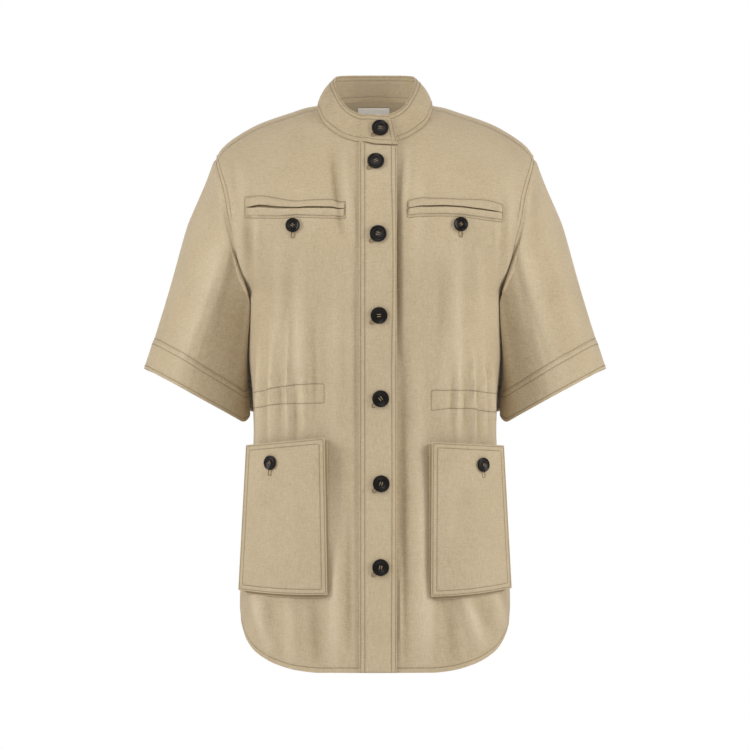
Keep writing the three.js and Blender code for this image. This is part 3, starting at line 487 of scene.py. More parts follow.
class Wiring:
    """The nodes of a finish or of the studio's sky, and the wires between them."""

    def __init__(self, owner):
        self.owner = owner
        owner.use_nodes = True
        self.nodes, self.links = owner.node_tree.nodes, owner.node_tree.links

    @functools.cached_property
    def place(self):
        return self.node("ShaderNodeTexCoord").outputs["Object"]

    def fill(self, node, inputs):
        """Gives each input of a node its value, or the wire from another node."""
        for name, value in inputs.items():
            if hasattr(value, "links"):
                self.links.new(value, node.inputs[name])
            else:
                node.inputs[name].default_value = value

    def node(self, kind, inputs=(), **settings):
        node = self.nodes.new(kind)
        for name, value in settings.items():
            setattr(node, name, value)
        self.fill(node, dict(inputs))
        return node

    def maths(self, operation, *values):
        return self.node("ShaderNodeMath", enumerate(values), operation=operation).outputs[0]

    def total(self, start, *terms):
        """start and the products of the terms, each a pair."""
        for term in terms:
            start = self.maths("MULTIPLY_ADD", *term, start)
        return start

    def noise(self, scale, detail, stretch=(1, 1, 1)):
        stretched = self.node("ShaderNodeMapping", {"Vector": self.place, "Scale": stretch}).outputs[0]
        values = {"Vector": stretched, "Scale": scale, "Detail": detail}
        return self.node("ShaderNodeTexNoise", values).outputs[0]

    def blend(self, share, low, high):
        return self.node("ShaderNodeMix", {0: share, 6: low, 7: high}, data_type="RGBA").outputs[2]

    def mark(self, name):
        """A distance that is marked on the cloth."""
        return self.node("ShaderNodeAttribute", attribute_name=name).outputs["Fac"]

    def falling(self, distance, width):
        """From 1 down to 0 over a width."""
        fall = {"Value": distance, "From Min": 0, "From Max": width, "To Min": 1, "To Max": 0}
        return self.node("ShaderNodeMapRange", fall, interpolation_type="SMOOTHSTEP").outputs[0]

    def finish(self, colour, height, relief, strength, values):
        """Wires the colour and the height, whose relief is in mm, and gives the finished look."""
        raised = {"Height": height, "Distance": relief * MM, "Strength": strength}
        bump = self.node("ShaderNodeBump", raised).outputs[0]
        return self.surface({"Base Color": colour, "Normal": bump, **values})

    def surface(self, values):
        self.fill(self.nodes["Principled BSDF"], values)
        return self.owner


def new_look(name):
    return Wiring(bpy.data.materials.new(name))


KHAKI_DARK = (0.335, 0.248, 0.138, 1)
KHAKI_PALE = (0.625, 0.52, 0.36, 1)
# Colour put into a stitch row's groove, part the thread's colour and part painted shade in the groove, and
# how much of it shows at the row
GROOVE_SHADE_AND_THREAD = (0.25, 0.185, 0.10, 1)
GROOVE_SHADE_SHARE = 0.42
# Painted highlight and shade of the folds: how much paler the cloth's colour is made for each mm that a
# fold stands out, and how much darker for each mm that a trough sinks in
FOLD_SHADE = 0.05
# Shares of the yarns, the cloudy tone and the grain in the cloth's colour, and in its relief
SLUB_SHADE, CLOUD_SHADE, WEFT_SHADE, GRAIN_SHADE = 0.5, 0.3, 0.4, 0.8
WAVE_HIGH, GRAIN_HIGH, WEFT_HIGH, SLUB_HIGH = 0.2, 0.5, 0.25, 0.35
WAVE = {"Scale": 640, "Distortion": 1.2}
# A stitch row lies in a groove, and the cloth beside it swells and puckers
GROOVE_WIDTH, GROOVE_DEEP = 1.25, -1.6
PUFF_WIDTH, PUFF, PUFF_UNEVEN = 3.4, -2.1, 1.2
TWILL_RELIEF, TWILL_STRENGTH = 0.45, 0.4
TWILL = {
    "Roughness": 0.72, "Specular IOR Level": 0.3, "Sheen Weight": 0.22, "Sheen Roughness": 0.45,
    "Sheen Tint": (1, 0.94, 0.82, 1),
}
HORN_DARK, HORN_PALE = (0.0025, 0.0022, 0.002, 1), (0.013, 0.0095, 0.007, 1)
HORN = {"Roughness": 0.3, "Specular IOR Level": 0.16, "Coat Weight": 0.08, "Coat Roughness": 0.18}
TAPE_DARK, TAPE_PALE = (0.74, 0.71, 0.65, 1), (0.88, 0.85, 0.79, 1)
THREAD_DARKER = 0.7
FINE_RELIEF, HORN_STRENGTH = 0.1, 0.2


def twill(name, rows, tone=0.5):
    """Fine khaki twill. rows are its stitch rows: the distance that is marked on the cloth, and
    how far from it the row lies."""
    look = new_look(name)
    slub = look.noise(1, 2, (850, 850, 110))
    weft = look.noise(1, 2, (120, 120, 900))
    cloud, grain = look.noise(16, 2), look.noise(820, 3)
    wave = look.node("ShaderNodeTexWave", {"Vector": look.place, **WAVE},
                     bands_direction="DIAGONAL").outputs["Fac"]
    # The fold marks paint highlight on the crests and shade in the troughs into the cloth's colour
    share = look.total(-tone, (slub, SLUB_SHADE), (cloud, CLOUD_SHADE), (weft, WEFT_SHADE),
                       (grain, GRAIN_SHADE), (look.mark("fold_shade_mm"), FOLD_SHADE))
    colour = look.blend(share, KHAKI_DARK, KHAKI_PALE)
    height = look.total(0, (wave, WAVE_HIGH), (grain, GRAIN_HIGH), (weft, WEFT_HIGH), (slub, SLUB_HIGH))
    if rows:
        gaps = [look.maths("ABSOLUTE", look.maths("SUBTRACT", look.mark(mark), distance))
                for mark, distance in rows]
        nearest = functools.reduce(lambda a, b: look.maths("MINIMUM", a, b), gaps)
        groove, swell = look.falling(nearest, GROOVE_WIDTH), look.falling(nearest, PUFF_WIDTH)
        # Painted shade in each row's groove, mixed with the thread's colour
        colour = look.blend(look.maths("MULTIPLY", groove, GROOVE_SHADE_SHARE), colour, GROOVE_SHADE_AND_THREAD)
        pucker = look.total(PUFF, (look.noise(260, 1), PUFF_UNEVEN))
        height = look.total(height, (swell, pucker), (groove, GROOVE_DEEP))
    return look.finish(colour, height, TWILL_RELIEF, TWILL_STRENGTH, TWILL)


def thread_look(name, colour):
    look = new_look(name)
    twist = look.noise(2200, 1)
    dark = tuple(THREAD_DARKER * c for c in colour) + (1,)
    return look.finish(look.blend(twist, dark, colour + (1,)), twist, FINE_RELIEF, 1,
                       {"Roughness": 0.6})


def horn_look():
    look = new_look("black_brown_horn")
    swirl = look.noise(120, 4, (1, 1, 2.5))
    return look.finish(look.blend(swirl, HORN_DARK, HORN_PALE), look.noise(700, 2), FINE_RELIEF,
                       HORN_STRENGTH, HORN)


def tape_look():
    look = new_look("label_tape")
    ribs = look.noise(1, 2, (300, 300, 2400))
    return look.finish(look.blend(ribs, TAPE_DARK, TAPE_PALE), ribs, FINE_RELIEF, 1, {"Roughness": 0.5})


# How far each row of stitches lies from its edge or seam
EDGE_ROW, SECOND_ROW = 2.0, 7.4
FOOT_ROW = 6.0
CUFF_ROW, CUFF_HEM_ROW = 5.6, 4.2
HEM_ROW = 6.2
ARM_ROW = 7.2
SHOULDER_ROW = 5.0
NEVER = 99.0
TWIN_ROWS = (("edge_mm", EDGE_ROW), ("edge_mm", SECOND_ROW))
BODY_ROWS = (("hem_mm", HEM_ROW), ("arm_mm", ARM_ROW), ("casing_mm", 0))
# The row at 0 from the shoulder seam has no thread: its groove colour there is painted shade in the seam's
# crevice
FRONT_ROWS = (("welt_mm", 0), ("shoulder_mm", SHOULDER_ROW), ("shoulder_mm", 0))
COLLAR_TONE = 0.6

LOOKS = {
    "plain": twill("khaki_plain", ()),
    "twin": twill("khaki_twin_rows", TWIN_ROWS),
    "front": twill("khaki_front", BODY_ROWS + FRONT_ROWS),
    "back": twill("khaki_back", BODY_ROWS),
    # At 0 from the collar's foot no thread is sewn: the groove colour there is painted shade where the
    # collar meets the front
    "collar": twill("khaki_collar", TWIN_ROWS + (("foot_mm", FOOT_ROW), ("foot_mm", 0)), COLLAR_TONE),
    "sleeve": twill("khaki_sleeve", TWIN_ROWS[:1]),
    "cuff": twill("khaki_cuff", (("edge_mm", CUFF_ROW), ("hem_mm", CUFF_HEM_ROW))),
    "thread": thread_look("khaki_thread", (0.17, 0.115, 0.052)),
    "hole": thread_look("buttonhole_thread", (0.33, 0.235, 0.12)),
    "strand": thread_look("button_thread", (0.30, 0.225, 0.13)),
    "horn": horn_look(),
    "tape": tape_look(),
}

stitch_rows = []


def dress(piece, slot, *nodes):
    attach(piece, "root")
    if nodes:
        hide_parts(*nodes)


def sheet(name, node, points, thick, inside, look, marks=(), slot="cloth", ring=False, rounded=0.0, **laid):
    """A sewn piece of the jacket; laid would give its size laid flat, in metres, and how it is held, but it
    is not used.
    """
    piece = cloth(name, points, thick, inside, LOOKS[look], marks, ring, rounded)
    dress(piece, slot, node)


def sew(points, normals, side, distances, trim=(0, 0)):
    for distance in distances:
        stitch_rows.append(row_along(points, normals, side, distance, trim))


def sew_twin(points, normals, sides):
    """Two rows along each side, that end at the ones along its neighbours."""
    for side in sides:
        for distance in (EDGE_ROW, SECOND_ROW):
            sew(points, normals, side, (distance,), (distance, distance))


# Body panels: the casing is stitched through them, and the chest pockets are slit into them
CASING = {
    RIGHT: table("x top low", (66, -356, -381), (92, -356.5, -381.5), (113, -358.5, -381.8),
                 (134, -362, -383.5), (149, -366, -386.5), (160, -368, -389)),
    LEFT: table("x top low", (71, -364.5, -391.5), (100, -364.5, -388), (121, -364.5, -388),
                (142, -367, -391.5), (160, -369, -393)),
}
CASING_END = {RIGHT: 66, LEFT: 73}
BACK_CASING = {"top": -365, "low": -390}
WELTS = {
    RIGHT: table(
        "x top slit low gape",
        (40.3, -121.2, -128.6, -137.7, 0.5), (58.5, -117.9, -126.9, -137.5, 1.8),
        (85.8, -118.7, -126.6, -136.8, 2.0), (101.4, -120, -127.4, -136.3, 1.5),
        (124.8, -116.9, -127, -137.7, 2.4), (146.9, -113.4, -125.4, -137.5, 3.2),
        (167, -115.2, -126.9, -137, 0.7)),
    LEFT: table(
        "x top slit low gape",
        (44.4, -119.3, -127.7, -136.9, 0.7), (64.5, -116.2, -125.7, -135.3, 1.5),
        (87.1, -116.4, -125.1, -134.7, 1.8), (110.5, -117.6, -126.1, -135.5, 1.6),
        (126.1, -117.7, -127.9, -137.4, 1.6), (143, -118.8, -130, -139.8, 1.5),
        (164.5, -124.2, -133.6, -142.7, 0.7)),
}
WELT_STITCH = {"top": 1.7, "low": 3.2, "near": 2.0, "far": 1.5}
# Ends of a welt's stitched box that show: 0 is the near one, -1 the far one
WELT_ENDS_SEWN = {RIGHT: (0,), LEFT: (0, -1)}
CASING_FAR, BACK_CASING_FAR = 154, 152
BEYOND = 1000
BOX_STEPS, BOX_END_STEPS = 120, 24
# The slit's depth, the length over which it ends, and its half width for a gape and besides it
SLIT_DEPTH, SLIT_END, SLIT_BY_GAPE, SLIT_LEAST = 6.0, 3, 1.1, 1.2
SEAM_DENT, SEAM_DENT_WIDE = 0.9, 1.9
# Where the row along the armhole ends, and how far from the seam its closed end starts
ARM_ROW_LOW, ARM_ROW_END = -146, 0.8


def box_distance(x, z, near, far, low, high):
    """Distance out of a stitched box, below 0 inside it."""
    return np.maximum(np.maximum(low - z, z - high), np.maximum(near - x, x - far))


def casing_box(side, sign, out):
    if side == BACK:
        return BACK_CASING["low"], BACK_CASING["top"]
    return read(CASING[sign], "x", out, "low"), read(CASING[sign], "x", out, "top")


def casing_mark(side, sign, x, z):
    low, top = casing_box(side, sign, sign * x)
    near = -BEYOND if side == BACK else CASING_END[sign]
    return box_distance(sign * x, z, near, BEYOND, low, top)


def welt_box(sign, out):
    low, top = (read(WELTS[sign], "x", out, edge) for edge in ("low", "top"))
    return low - WELT_STITCH["low"], top + WELT_STITCH["top"]


def welt_ends(sign):
    return WELTS[sign]["x"][0] - WELT_STITCH["near"], WELTS[sign]["x"][-1] + WELT_STITCH["far"]


def pressed(distance):
    """A seam draws the cloth in a little beside it."""
    return -SEAM_DENT * np.exp(-(distance / SEAM_DENT_WIDE) ** 2)


def slit_trough(sign, x, z):
    """The slit of a chest pocket goes into the cloth under its welts."""
    lines, out = WELTS[sign], sign * x
    half = SLIT_BY_GAPE * read(lines, "x", out, "gape") + SLIT_LEAST
    off = np.abs(z - read(lines, "x", out, "slit")) / half
    along = ease((out - lines["x"][0]) / SLIT_END) * ease((lines["x"][-1] - out) / SLIT_END)
    return -SLIT_DEPTH * along * np.maximum(0, 1 - off ** 2)


def on_skin(side, x, z):
    x, z = np.broadcast_arrays(np.asarray(x, float), z)
    return skin(side, x, z), outward(side, x, side * depth(side, x, z), z)


def sew_box(side, sign, near, far, box, ends=()):
    """Stitches a box through the body cloth, with the ends that show."""
    out = np.linspace(near, far, BOX_STEPS)
    low, top = (np.broadcast_to(edge, out.shape) for edge in box(out))
    for edge in (low, top):
        stitch_rows.append(on_skin(side, sign * out, edge))
    for k in ends:
        stitch_rows.append(on_skin(side, sign * out[k], np.linspace(low[k], top[k], BOX_END_STEPS)))


def panel(name, node, side, sign, places, flat, area):
    sides, x, z = places
    front, inside = side == FRONT, (0, 0, None)
    ends = ("far",) if front else ("far", "near")
    points = skin(sides, x, z, slit_trough(sign, x, z) if front else 0.0)
    shoulder = arc(points, "top")
    shoulder[:, np.abs(x[-1]) < NECK_HALF] = NEVER
    dent = pressed(np.minimum.reduce([arc(points, end) for end in ends] + [shoulder]))
    points = points + directions(points, inside) * dent[..., None]
    normals = directions(points, inside)
    arm = np.full(z.shape, NEVER)
    arm[-len(YOKE):] = np.minimum.reduce([arc(points[-len(YOKE):], end) for end in ends])
    arm[(z < ARM_ROW_LOW) | (sides != side)] = NEVER
    # The fold heights are marked on the panel to paint highlight on its folds and shade in its troughs
    marks = {
        "hem_mm": arc(points, "foot"), "arm_mm": arm, "casing_mm": casing_mark(side, sign, x, z),
        "fold_shade_mm": np.where(sides == FRONT, all_folds(FRONT, x, z), all_folds(BACK, x, z)),
    }
    if front:
        low, top = welt_box(sign, sign * x)
        marks["shoulder_mm"] = shoulder
        marks["welt_mm"] = box_distance(sign * x, z, *welt_ends(sign), low, top)
    sheet(name, node, points, CLOTH, inside, "front" if front else "back", marks,
          flat=flat, held="hung", area=area)
    sew(points, normals, "foot", (HEM_ROW,), (3, 3))
    if front:
        outer = np.abs(x[-1]) >= NECK_HALF
        sew(points[:, outer], normals[:, outer], "top", (SHOULDER_ROW,), (1, 1))
    upper = np.where(z[:, -1] > ARM_ROW_LOW)[0][0]
    for end in ends:
        sew(points[upper:], normals[upper:], end, (ARM_ROW,), (1, 3 if front else 6))
    if front:
        run = arc(points, "far")[upper]
        keep = (run > ARM_ROW_END) & (run < ARM_ROW)
        stitch_rows.append((points[upper][keep], normals[upper][keep]))


def make_front(name, node, sign, flat, area):
    edge = FRONT_EDGE[sign]
    places = panel_places(FRONT, sign, edge, shares_across(sign, edge, FRONT_COLUMNS))
    panel(name, node, FRONT, sign, places, flat, area)
    sew_box(FRONT, sign, CASING_END[sign], CASING_FAR, lambda out: casing_box(FRONT, sign, out), (0,))
    sew_box(FRONT, sign, *welt_ends(sign), lambda out: welt_box(sign, out), WELT_ENDS_SEWN[sign])


def make_back():
    halves = [panel_places(BACK, sign, 0, shares_across(sign, 0, BACK_COLUMNS)) for sign in (RIGHT, LEFT)]
    places = [np.concatenate((right[:, :0:-1], left), axis=1) for right, left in zip(*halves)]
    panel("back_of_jacket", "back", BACK, LEFT, places, (0.54, 0.78), 0.342)
    sew_box(BACK, LEFT, -BACK_CASING_FAR, BACK_CASING_FAR, lambda out: casing_box(BACK, LEFT, out))


def placket_gape(x, z):
    edge = ease((x - PLACKET_GAPE_FROM) / (PLACKET_TO - PLACKET_GAPE_FROM))
    return edge * read(PLACKET_GAPE, "z", z, "gape")


def make_placket():
    x = np.linspace(PLACKET_FROM, PLACKET_TO, PLACKET_COLUMNS)
    top = read(NECKLINE[FRONT], "x", np.abs(x), "z") - TAB_DROP * tab_station(x)[2] - PLACKET_UNDER_TAB
    foot = np.linspace(HEM + PLACKET_SHORT, LEVELS[0], 20)[:-1]
    below = np.concatenate((foot, LEVELS, [UNDERARM]))
    z = np.concatenate((np.repeat(below[:, None], len(x), axis=1), mix(UNDERARM, top, YOKE[1:, None])))
    x = np.broadcast_to(x, z.shape)
    points = skin(FRONT, x, z, LIFT + BAND + placket_gape(x, z))
    inside = (0, 0, None)
    edges = np.minimum(arc(points, "near"), arc(points, "far"))
    sheet("placket_band", "placket", points, BAND, inside, "twin",
          {"edge_mm": edges, "hem_mm": arc(points, "foot")}, rounded=0.5, flat=(0.05, 0.70), held="hung")
    for side in ("near", "far"):
        sew(points, directions(points, inside), side, (EDGE_ROW, SECOND_ROW), (2, 2))


# Collar: a stand band from under the tab, round the neck to the tab's end on the other front.
# round is the place round half of it, from the middle of the front to the middle of the back.
COLLAR = table(
    "round x top_x top_y top_z swell",
    (0, 0, 0, -64, -7, 0), (0.2, 23, 17, -62, -5.5, 0), (0.34, 40, 29, -56, -1, 0.8),
    (0.46, 54, 39, -46, 7, 2.4), (0.56, 66, 47, -32, 20, 4), (0.64, 74, 51.5, -13, 34, 4.5),
    (0.7, 74, 52.5, 3, 39.5, 4), (0.8, 64, 48, 24, 43.5, 2.2), (0.9, 38, 31, 38, 44.5, 1),
    (1, 0, 0, 42, 44.5, 0.6),
)
CORNER_FRONT, CORNER_BACK = 0.64, 0.7
COLLAR_OUTSIDE, COLLAR_SEAM_LAP, COLLAR_PROUD = 1.008, 0.9, 0.7
TAB_REACH, TAB_DROP, TAB_FROM, TAB_STAND, TAB_FOOT_STAND = 28, 8.3, -22, 4.2, 3.6
TAB_LAP, TAB_DROOP, DROOP_AT_TOP, DROOP_ROUND = 12, 49.5, 0.5, 1.7
COLLAR_ROWS, COLLAR_COLUMNS, TAB_COLUMNS = 15, 170, 26
# Where the band starts and where the tab starts over it, from the middle of the front
UNDERLAP, TAB_START = 6, -21.5
ROUND_A_MM = 0.2 / 23


def collar_edge(sign, place, high):
    sign = np.where((place < 0) | (place > 1), -sign, sign)
    place = np.where(place < 0, -place, np.where(place > 1, 2 - place, place))
    if high:
        x, y, z = (read(COLLAR, "round", place, key) for key in ("top_x", "top_y", "top_z"))
        return vec(sign * x, y, z)
    x = read(COLLAR, "round", place, "x")
    in_front, behind = place <= CORNER_FRONT, place >= CORNER_BACK
    over = (CORNER_BACK - place) / (CORNER_BACK - CORNER_FRONT)
    between = ridge(FRONT, NECK_HALF) - SHOULDER_SEAM_DROP * over ** 2
    at_back = np.where(behind, read(NECKLINE[BACK], "x", x, "z"), between)
    z = np.where(in_front, panel_top(FRONT, x), at_back) - COLLAR_SEAM_LAP
    y = np.where(behind, depth(BACK, x, z), -depth(FRONT, x, z))
    return vec(sign * x * COLLAR_OUTSIDE, y * COLLAR_OUTSIDE, z)


def collar_outward(sign, place):
    step = 0.03
    ends = [collar_edge(sign, place + way, False) + collar_edge(sign, place + way, True)
            for way in (-step, step)]
    up = collar_edge(sign, place, True) - collar_edge(sign, place, False)
    return unit(np.cross(ends[1] - ends[0], up) * np.asarray(sign)[..., None])


def collar_point(station, t, offset):
    """Point of the collar's outer face at a share t of the way up."""
    place, lap, droop = station
    sign = np.where(place > 1, RIGHT, LEFT)
    half = np.where(place > 1, 2 - place, place)
    low, high = collar_edge(sign, half, False), collar_edge(sign, half, True)
    swell = read(COLLAR, "round", np.clip(half, 0, 1), "swell") * 4 * t * (1 - t)
    stand = COLLAR_PROUD + lap * TAB_STAND + droop * (1 - t) * TAB_FOOT_STAND + swell + offset
    spot = mix(low, high, t[..., None]) + collar_outward(sign, half) * stand[..., None]
    spot[..., 2] -= TAB_DROP * droop * mix(1, DROOP_AT_TOP, t)
    return spot


def tab_station(x):
    """Place round the collar, and the shares of the tab's lap and droop, at a place across."""
    x = np.asarray(x, float)
    droop = np.clip((x - TAB_FROM) / TAB_DROOP, 0, 1.02) ** DROOP_ROUND
    return 2 + x * ROUND_A_MM, ease((x - TAB_FROM) / TAB_LAP), droop


def make_collar():
    under = np.linspace(-UNDERLAP, 21, 10) * ROUND_A_MM
    plain = np.concatenate((under, np.linspace(0.2, 1.8, COLLAR_COLUMNS)))
    tab = tab_station(np.linspace(TAB_START, TAB_REACH, TAB_COLUMNS))
    station = [np.concatenate((a, b)) for a, b in zip((plain, 0 * plain, 0 * plain), tab)]
    *station, t = np.broadcast_arrays(*station, np.linspace(0, 1, COLLAR_ROWS)[:, None])
    points = collar_point(station, t, 0 * t)
    inside = (0, -8, None)
    normals = directions(points, inside)
    marks = {"edge_mm": np.minimum(arc(points, "top"), arc(points, "far")), "foot_mm": arc(points, "foot")}
    sheet("stand_collar", "collar", points, BAND, inside, "collar", marks,
          rounded=0.55, flat=(0.46, 0.04), held="hung")
    sew(points, normals, "top", (EDGE_ROW, SECOND_ROW), (2, EDGE_ROW))
    sew(points, normals, "foot", (FOOT_ROW,), (2, SECOND_ROW))
    sew_twin(points, normals, ("far",))


# Sleeves: an outer line from the shoulder tip and an inner line from the underarm carry the
# rings, each an oval whose length lies between them; width is half its size front to back.
SLEEVE = table(
    "t out_x out_y out_z in_x in_y in_z width",
    (0, 208, -2, -65, 168, 0, -242, 73), (0.1, 217, -1, -92, 174, 3, -258, 75),
    (0.3, 235, 1, -147, 168.5, 27, -290, 76), (0.6, 260, 3, -228, 162.5, 36, -322, 74),
    (0.862, 284, 4.5, -299.6, 159, 40, -356, 69), (1, 297, 5, -337, 158, 42, -392, 67),
)
SLEEVE_LOW, CUFF_HIGH = 0.862, 0.8624
SLEEVE_HEAD, HEAD_FULLNESS = 0.3, 30
FULL_FROM_UNDERARM, ARM_SEAM = 12, 0.7
CUFF_STAND = 0.8
HEAD_ROWS, HEAD_LOW, SLEEVE_ROWS, CUFF_ROWS = 12, 0.12, 74, 15
# Places inside the left sleeve and cuff
IN_SLEEVE, IN_CUFF = (215, 12), (230, 20)
# How far the cuff's edge drops below a plain oval: in front it runs straight down to a corner
# by the body, and behind it stays hidden above that line
DIP_SLOPE, DIP_ACROSS, DIP_BEHIND = 10.3, 9, 5
CORNER_FROM, CORNER_TO = 0.5, 0.85
SLEEVE_SQUARENESS = 2.15
# Room between sleeve and side, more of it beside the waist's folds
CLEAR, UNDERARM_ROOM = 1.6, 9
FOLD_ROOM_BY, FOLD_ROOM_BELOW, FOLD_ROOM_OVER = 1.6, 30, 60
# The cloth of a sleeve is tucked in a little behind the body's side
TUCK, TUCK_AT, TUCK_WIDE, TUCK_SOON = 11, 212, 40, 2.5
SLEEVE_FOLDS = sleeve_folds(
    (62, -0.2, 0.75, 17, 3.2), (118, 0.02, 0.95, 16, 3.6), (150, 0.1, 1.05, 13, 2.6),
    (238, 0.02, 0.9, 18, 3.4), (292, -0.2, 0.7, 18, 2.8),
)
SLEEVE_CREASES = {
    RIGHT: sleeve_folds(
        (137, 0.02, 1.22, 54, -9), (84, -0.1, 1.2, 34, -6), (50, 0, 1.15, 13, 3),
        (42, 0.2, 1.15, 20, 2.4), (134, 0.3, 1.05, 9, -2), (62, 0.5, 1.1, 7, 1),
        (262, 0.1, 1.1, 18, -4), (216, 0.2, 1.05, 13, -2), (305, 0.1, 0.9, 20, 2)),
    LEFT: sleeve_folds(
        (140, 0, 1.2, 46, -9), (98, 0.1, 1.2, 18, -2.4), (64, 0.2, 1.1, 16, 2),
        (38, 0.1, 0.9, 16, -1.6), (128, 0.2, 1.02, 10, -2.4), (76, 0.45, 1.1, 7, 1.1),
        (266, 0.15, 1.1, 17, -3.8), (214, 0.15, 1.05, 12, -2.2), (300, 0.1, 1, 20, 1.8)),
}


def armhole():
    """Points of the armhole seam, down its front from the shoulder seam and up its back."""
    runs = [yoke_places(side, SHOULDER_TIP - SEAM / 2) for side in (FRONT, BACK)]
    sides, z = (np.concatenate((front[::-1, 0], back[1:-1, 0])) for front, back in zip(*runs))
    return sides, reach(z), z


def armhole_away(sides, x, z, points):
    """Direction along the body cloth, away from the panels, at each point of the armhole."""
    before, behind = (outward(side, x, face_y(side, x, z), z) for side in (FRONT, BACK))
    normal = np.where((sides == BACK)[:, None], behind, before)
    return unit(np.cross(normal, np.roll(points, -1, axis=0) - np.roll(points, 1, axis=0)))


def sleeve_lines(t):
    """Points of the outer and of the inner line."""
    return [vec(*(read(SLEEVE, "t", t, f"{line}_{axis}") for axis in "xyz")) for line in ("out", "in")]


def sleeve_angle(start):
    """How far round the sleeve each point of the armhole lies."""
    out, low = sleeve_lines(0)
    along = out - low
    cosine = (start - (out + low) / 2) @ along / (along @ along / 2)
    return np.arctan2(-start[:, 1] / SLEEVE["width"][0], cosine)


def sleeve_fold(sign, angle, t):
    degrees = np.degrees(angle) % 360
    lift = np.zeros(np.broadcast(angle, t).shape)
    for rows in (SLEEVE_FOLDS, SLEEVE_CREASES[sign]):
        for at, start, stop, width, height in zip(*rows.values()):
            lift += swelling((t - start) / (stop - start), np.abs(degrees - at) / width, height)
    return lift


def power(value, exponent):
    return np.sign(value) * np.abs(value) ** exponent


def cuff_dip(c, s):
    corner = mix(1, ease((s - CORNER_FROM) / (CORNER_TO - CORNER_FROM)), ease(-2 * c))
    before = (DIP_SLOPE * (1 - c) + DIP_ACROSS * s) * corner
    return np.where(s < 0, DIP_BEHIND * s * ease(1.5 * c + 0.5), before)


def sleeve_oval(sign, angle, t):
    out, low = sleeve_lines(t)
    along = (out - low) / 2
    flat = unit(vec(along[..., 0], along[..., 1], 0))
    across = vec(flat[..., 1], -flat[..., 0], 0)
    c, s = (power(way(angle), 2 / SLEEVE_SQUARENESS) for way in (np.cos, np.sin))
    width = read(SLEEVE, "t", t, "width") + sleeve_fold(sign, angle, t)
    point = (out + low) / 2 + along * c[..., None] + across * (s * width)[..., None]
    point[..., 2] -= ease(t) * cuff_dip(c, s)
    off = np.minimum(1, np.abs(np.degrees(angle) % 360 - TUCK_AT) / TUCK_WIDE)
    point[..., 0] -= TUCK * ease(TUCK_SOON * t) * np.cos(np.pi / 2 * off) ** 2
    return point


def clear_of_body(points):
    """The body's side stops the sleeve: a point that would reach it is moved out."""
    y, z = points[..., 1], points[..., 2]
    full = np.where(y < 0, full_depth(FRONT, z), full_depth(BACK, z))
    room = CLEAR + FOLD_ROOM_BY * ease((UNDERARM - FOLD_ROOM_BELOW - z) / FOLD_ROOM_OVER)
    clear = np.maximum(points[..., 0], reach(z) * section(np.abs(y) / full) + room)
    points[..., 0] = np.where(z < UNDERARM + UNDERARM_ROOM, clear, points[..., 0])
    return points


def sleeve_rings(sign, rows, stand):
    """Rings of the left sleeve; the folds are the ones of the side that sign gives."""
    sides, x, z = armhole()
    start = skin(sides, x, z)
    away = armhole_away(sides, x, z, start)
    angle = np.broadcast_to(sleeve_angle(start), (len(rows), len(x)))
    t = np.broadcast_to(rows[:, None], angle.shape)
    down = np.clip(t / SLEEVE_HEAD, 0, 1)
    oval = sleeve_oval(sign, angle, t)
    points = mix(start[None], oval, ease(down)[..., None])
    full = HEAD_FULLNESS * down * (1 - down) ** 2 * ease((z - UNDERARM) / FULL_FROM_UNDERARM)[None, :]
    points = points + away[None] * full[..., None]
    points[rows == 0] += away * ARM_SEAM
    if stand:
        middle = (oval + sleeve_oval(sign, angle + np.pi, t)) / 2
        points = points + unit(points - middle) * stand
    points = clear_of_body(points)
    points = np.concatenate((points, points[:, :1]), axis=1)
    return points * np.array([sign, 1, 1])


# Fold heights round each ring of a sleeve, marked on it to paint highlight on its ridges and shade in its
# troughs, such as the deep trough on the front towards the body
def sleeve_shade(sign, rows):
    sides, x, z = armhole()
    angle = sleeve_angle(skin(sides, x, z))
    lift = sleeve_fold(sign, angle[None, :], rows[:, None])
    return np.concatenate((lift, lift[:, :1]), axis=1)


def make_sleeve(sign, word):
    inside = (sign * IN_SLEEVE[0], IN_SLEEVE[1], None)
    head, rest = np.linspace(0, HEAD_LOW, HEAD_ROWS)[:-1], np.linspace(HEAD_LOW, SLEEVE_LOW, SLEEVE_ROWS)
    rows = np.concatenate((head, rest))
    points = sleeve_rings(sign, rows, 0)
    points = points + directions(points, inside) * pressed(arc(points, "foot"))[..., None]
    marks = {"edge_mm": arc(points, "top"), "fold_shade_mm": sleeve_shade(sign, rows)}
    sheet(f"{word}_sleeve", f"sleeve_{word}", points, CLOTH, inside, "sleeve", marks, ring=True,
          flat=(0.44, 0.29), held="hung", area=0.08)
    sew(points, directions(points, inside), "top", (EDGE_ROW,))

    inside = (sign * IN_CUFF[0], IN_CUFF[1], None)
    rows = np.linspace(CUFF_HIGH, 1, CUFF_ROWS)
    points = sleeve_rings(sign, rows, CUFF_STAND)
    marks = {"edge_mm": arc(points, "foot"), "hem_mm": arc(points, "top"),
             "fold_shade_mm": sleeve_shade(sign, rows)}
    sheet(f"{word}_cuff", f"cuff_{word}", points, BAND, inside, "cuff", marks, ring=True, rounded=0.5,
          flat=(0.42, 0.042), held="hung")
    normals = directions(points, inside)
    sew(points, normals, "foot", (CUFF_ROW,))
    sew(points, normals, "top", (CUFF_HEM_ROW,))


# Chest pockets: two welts with a slit between them, and a stitched box round them
WELT_THICK, WELT_PUFF, WELT_THINNING = 1.2, 1.0, 0.5
WELT_COLUMNS, WELT_ROWS = 64, 9
# How much of the roll lies out of the slit, and how round it is
ROLL_SHOWS, ROLL_ROUND = 0.86, 0.7


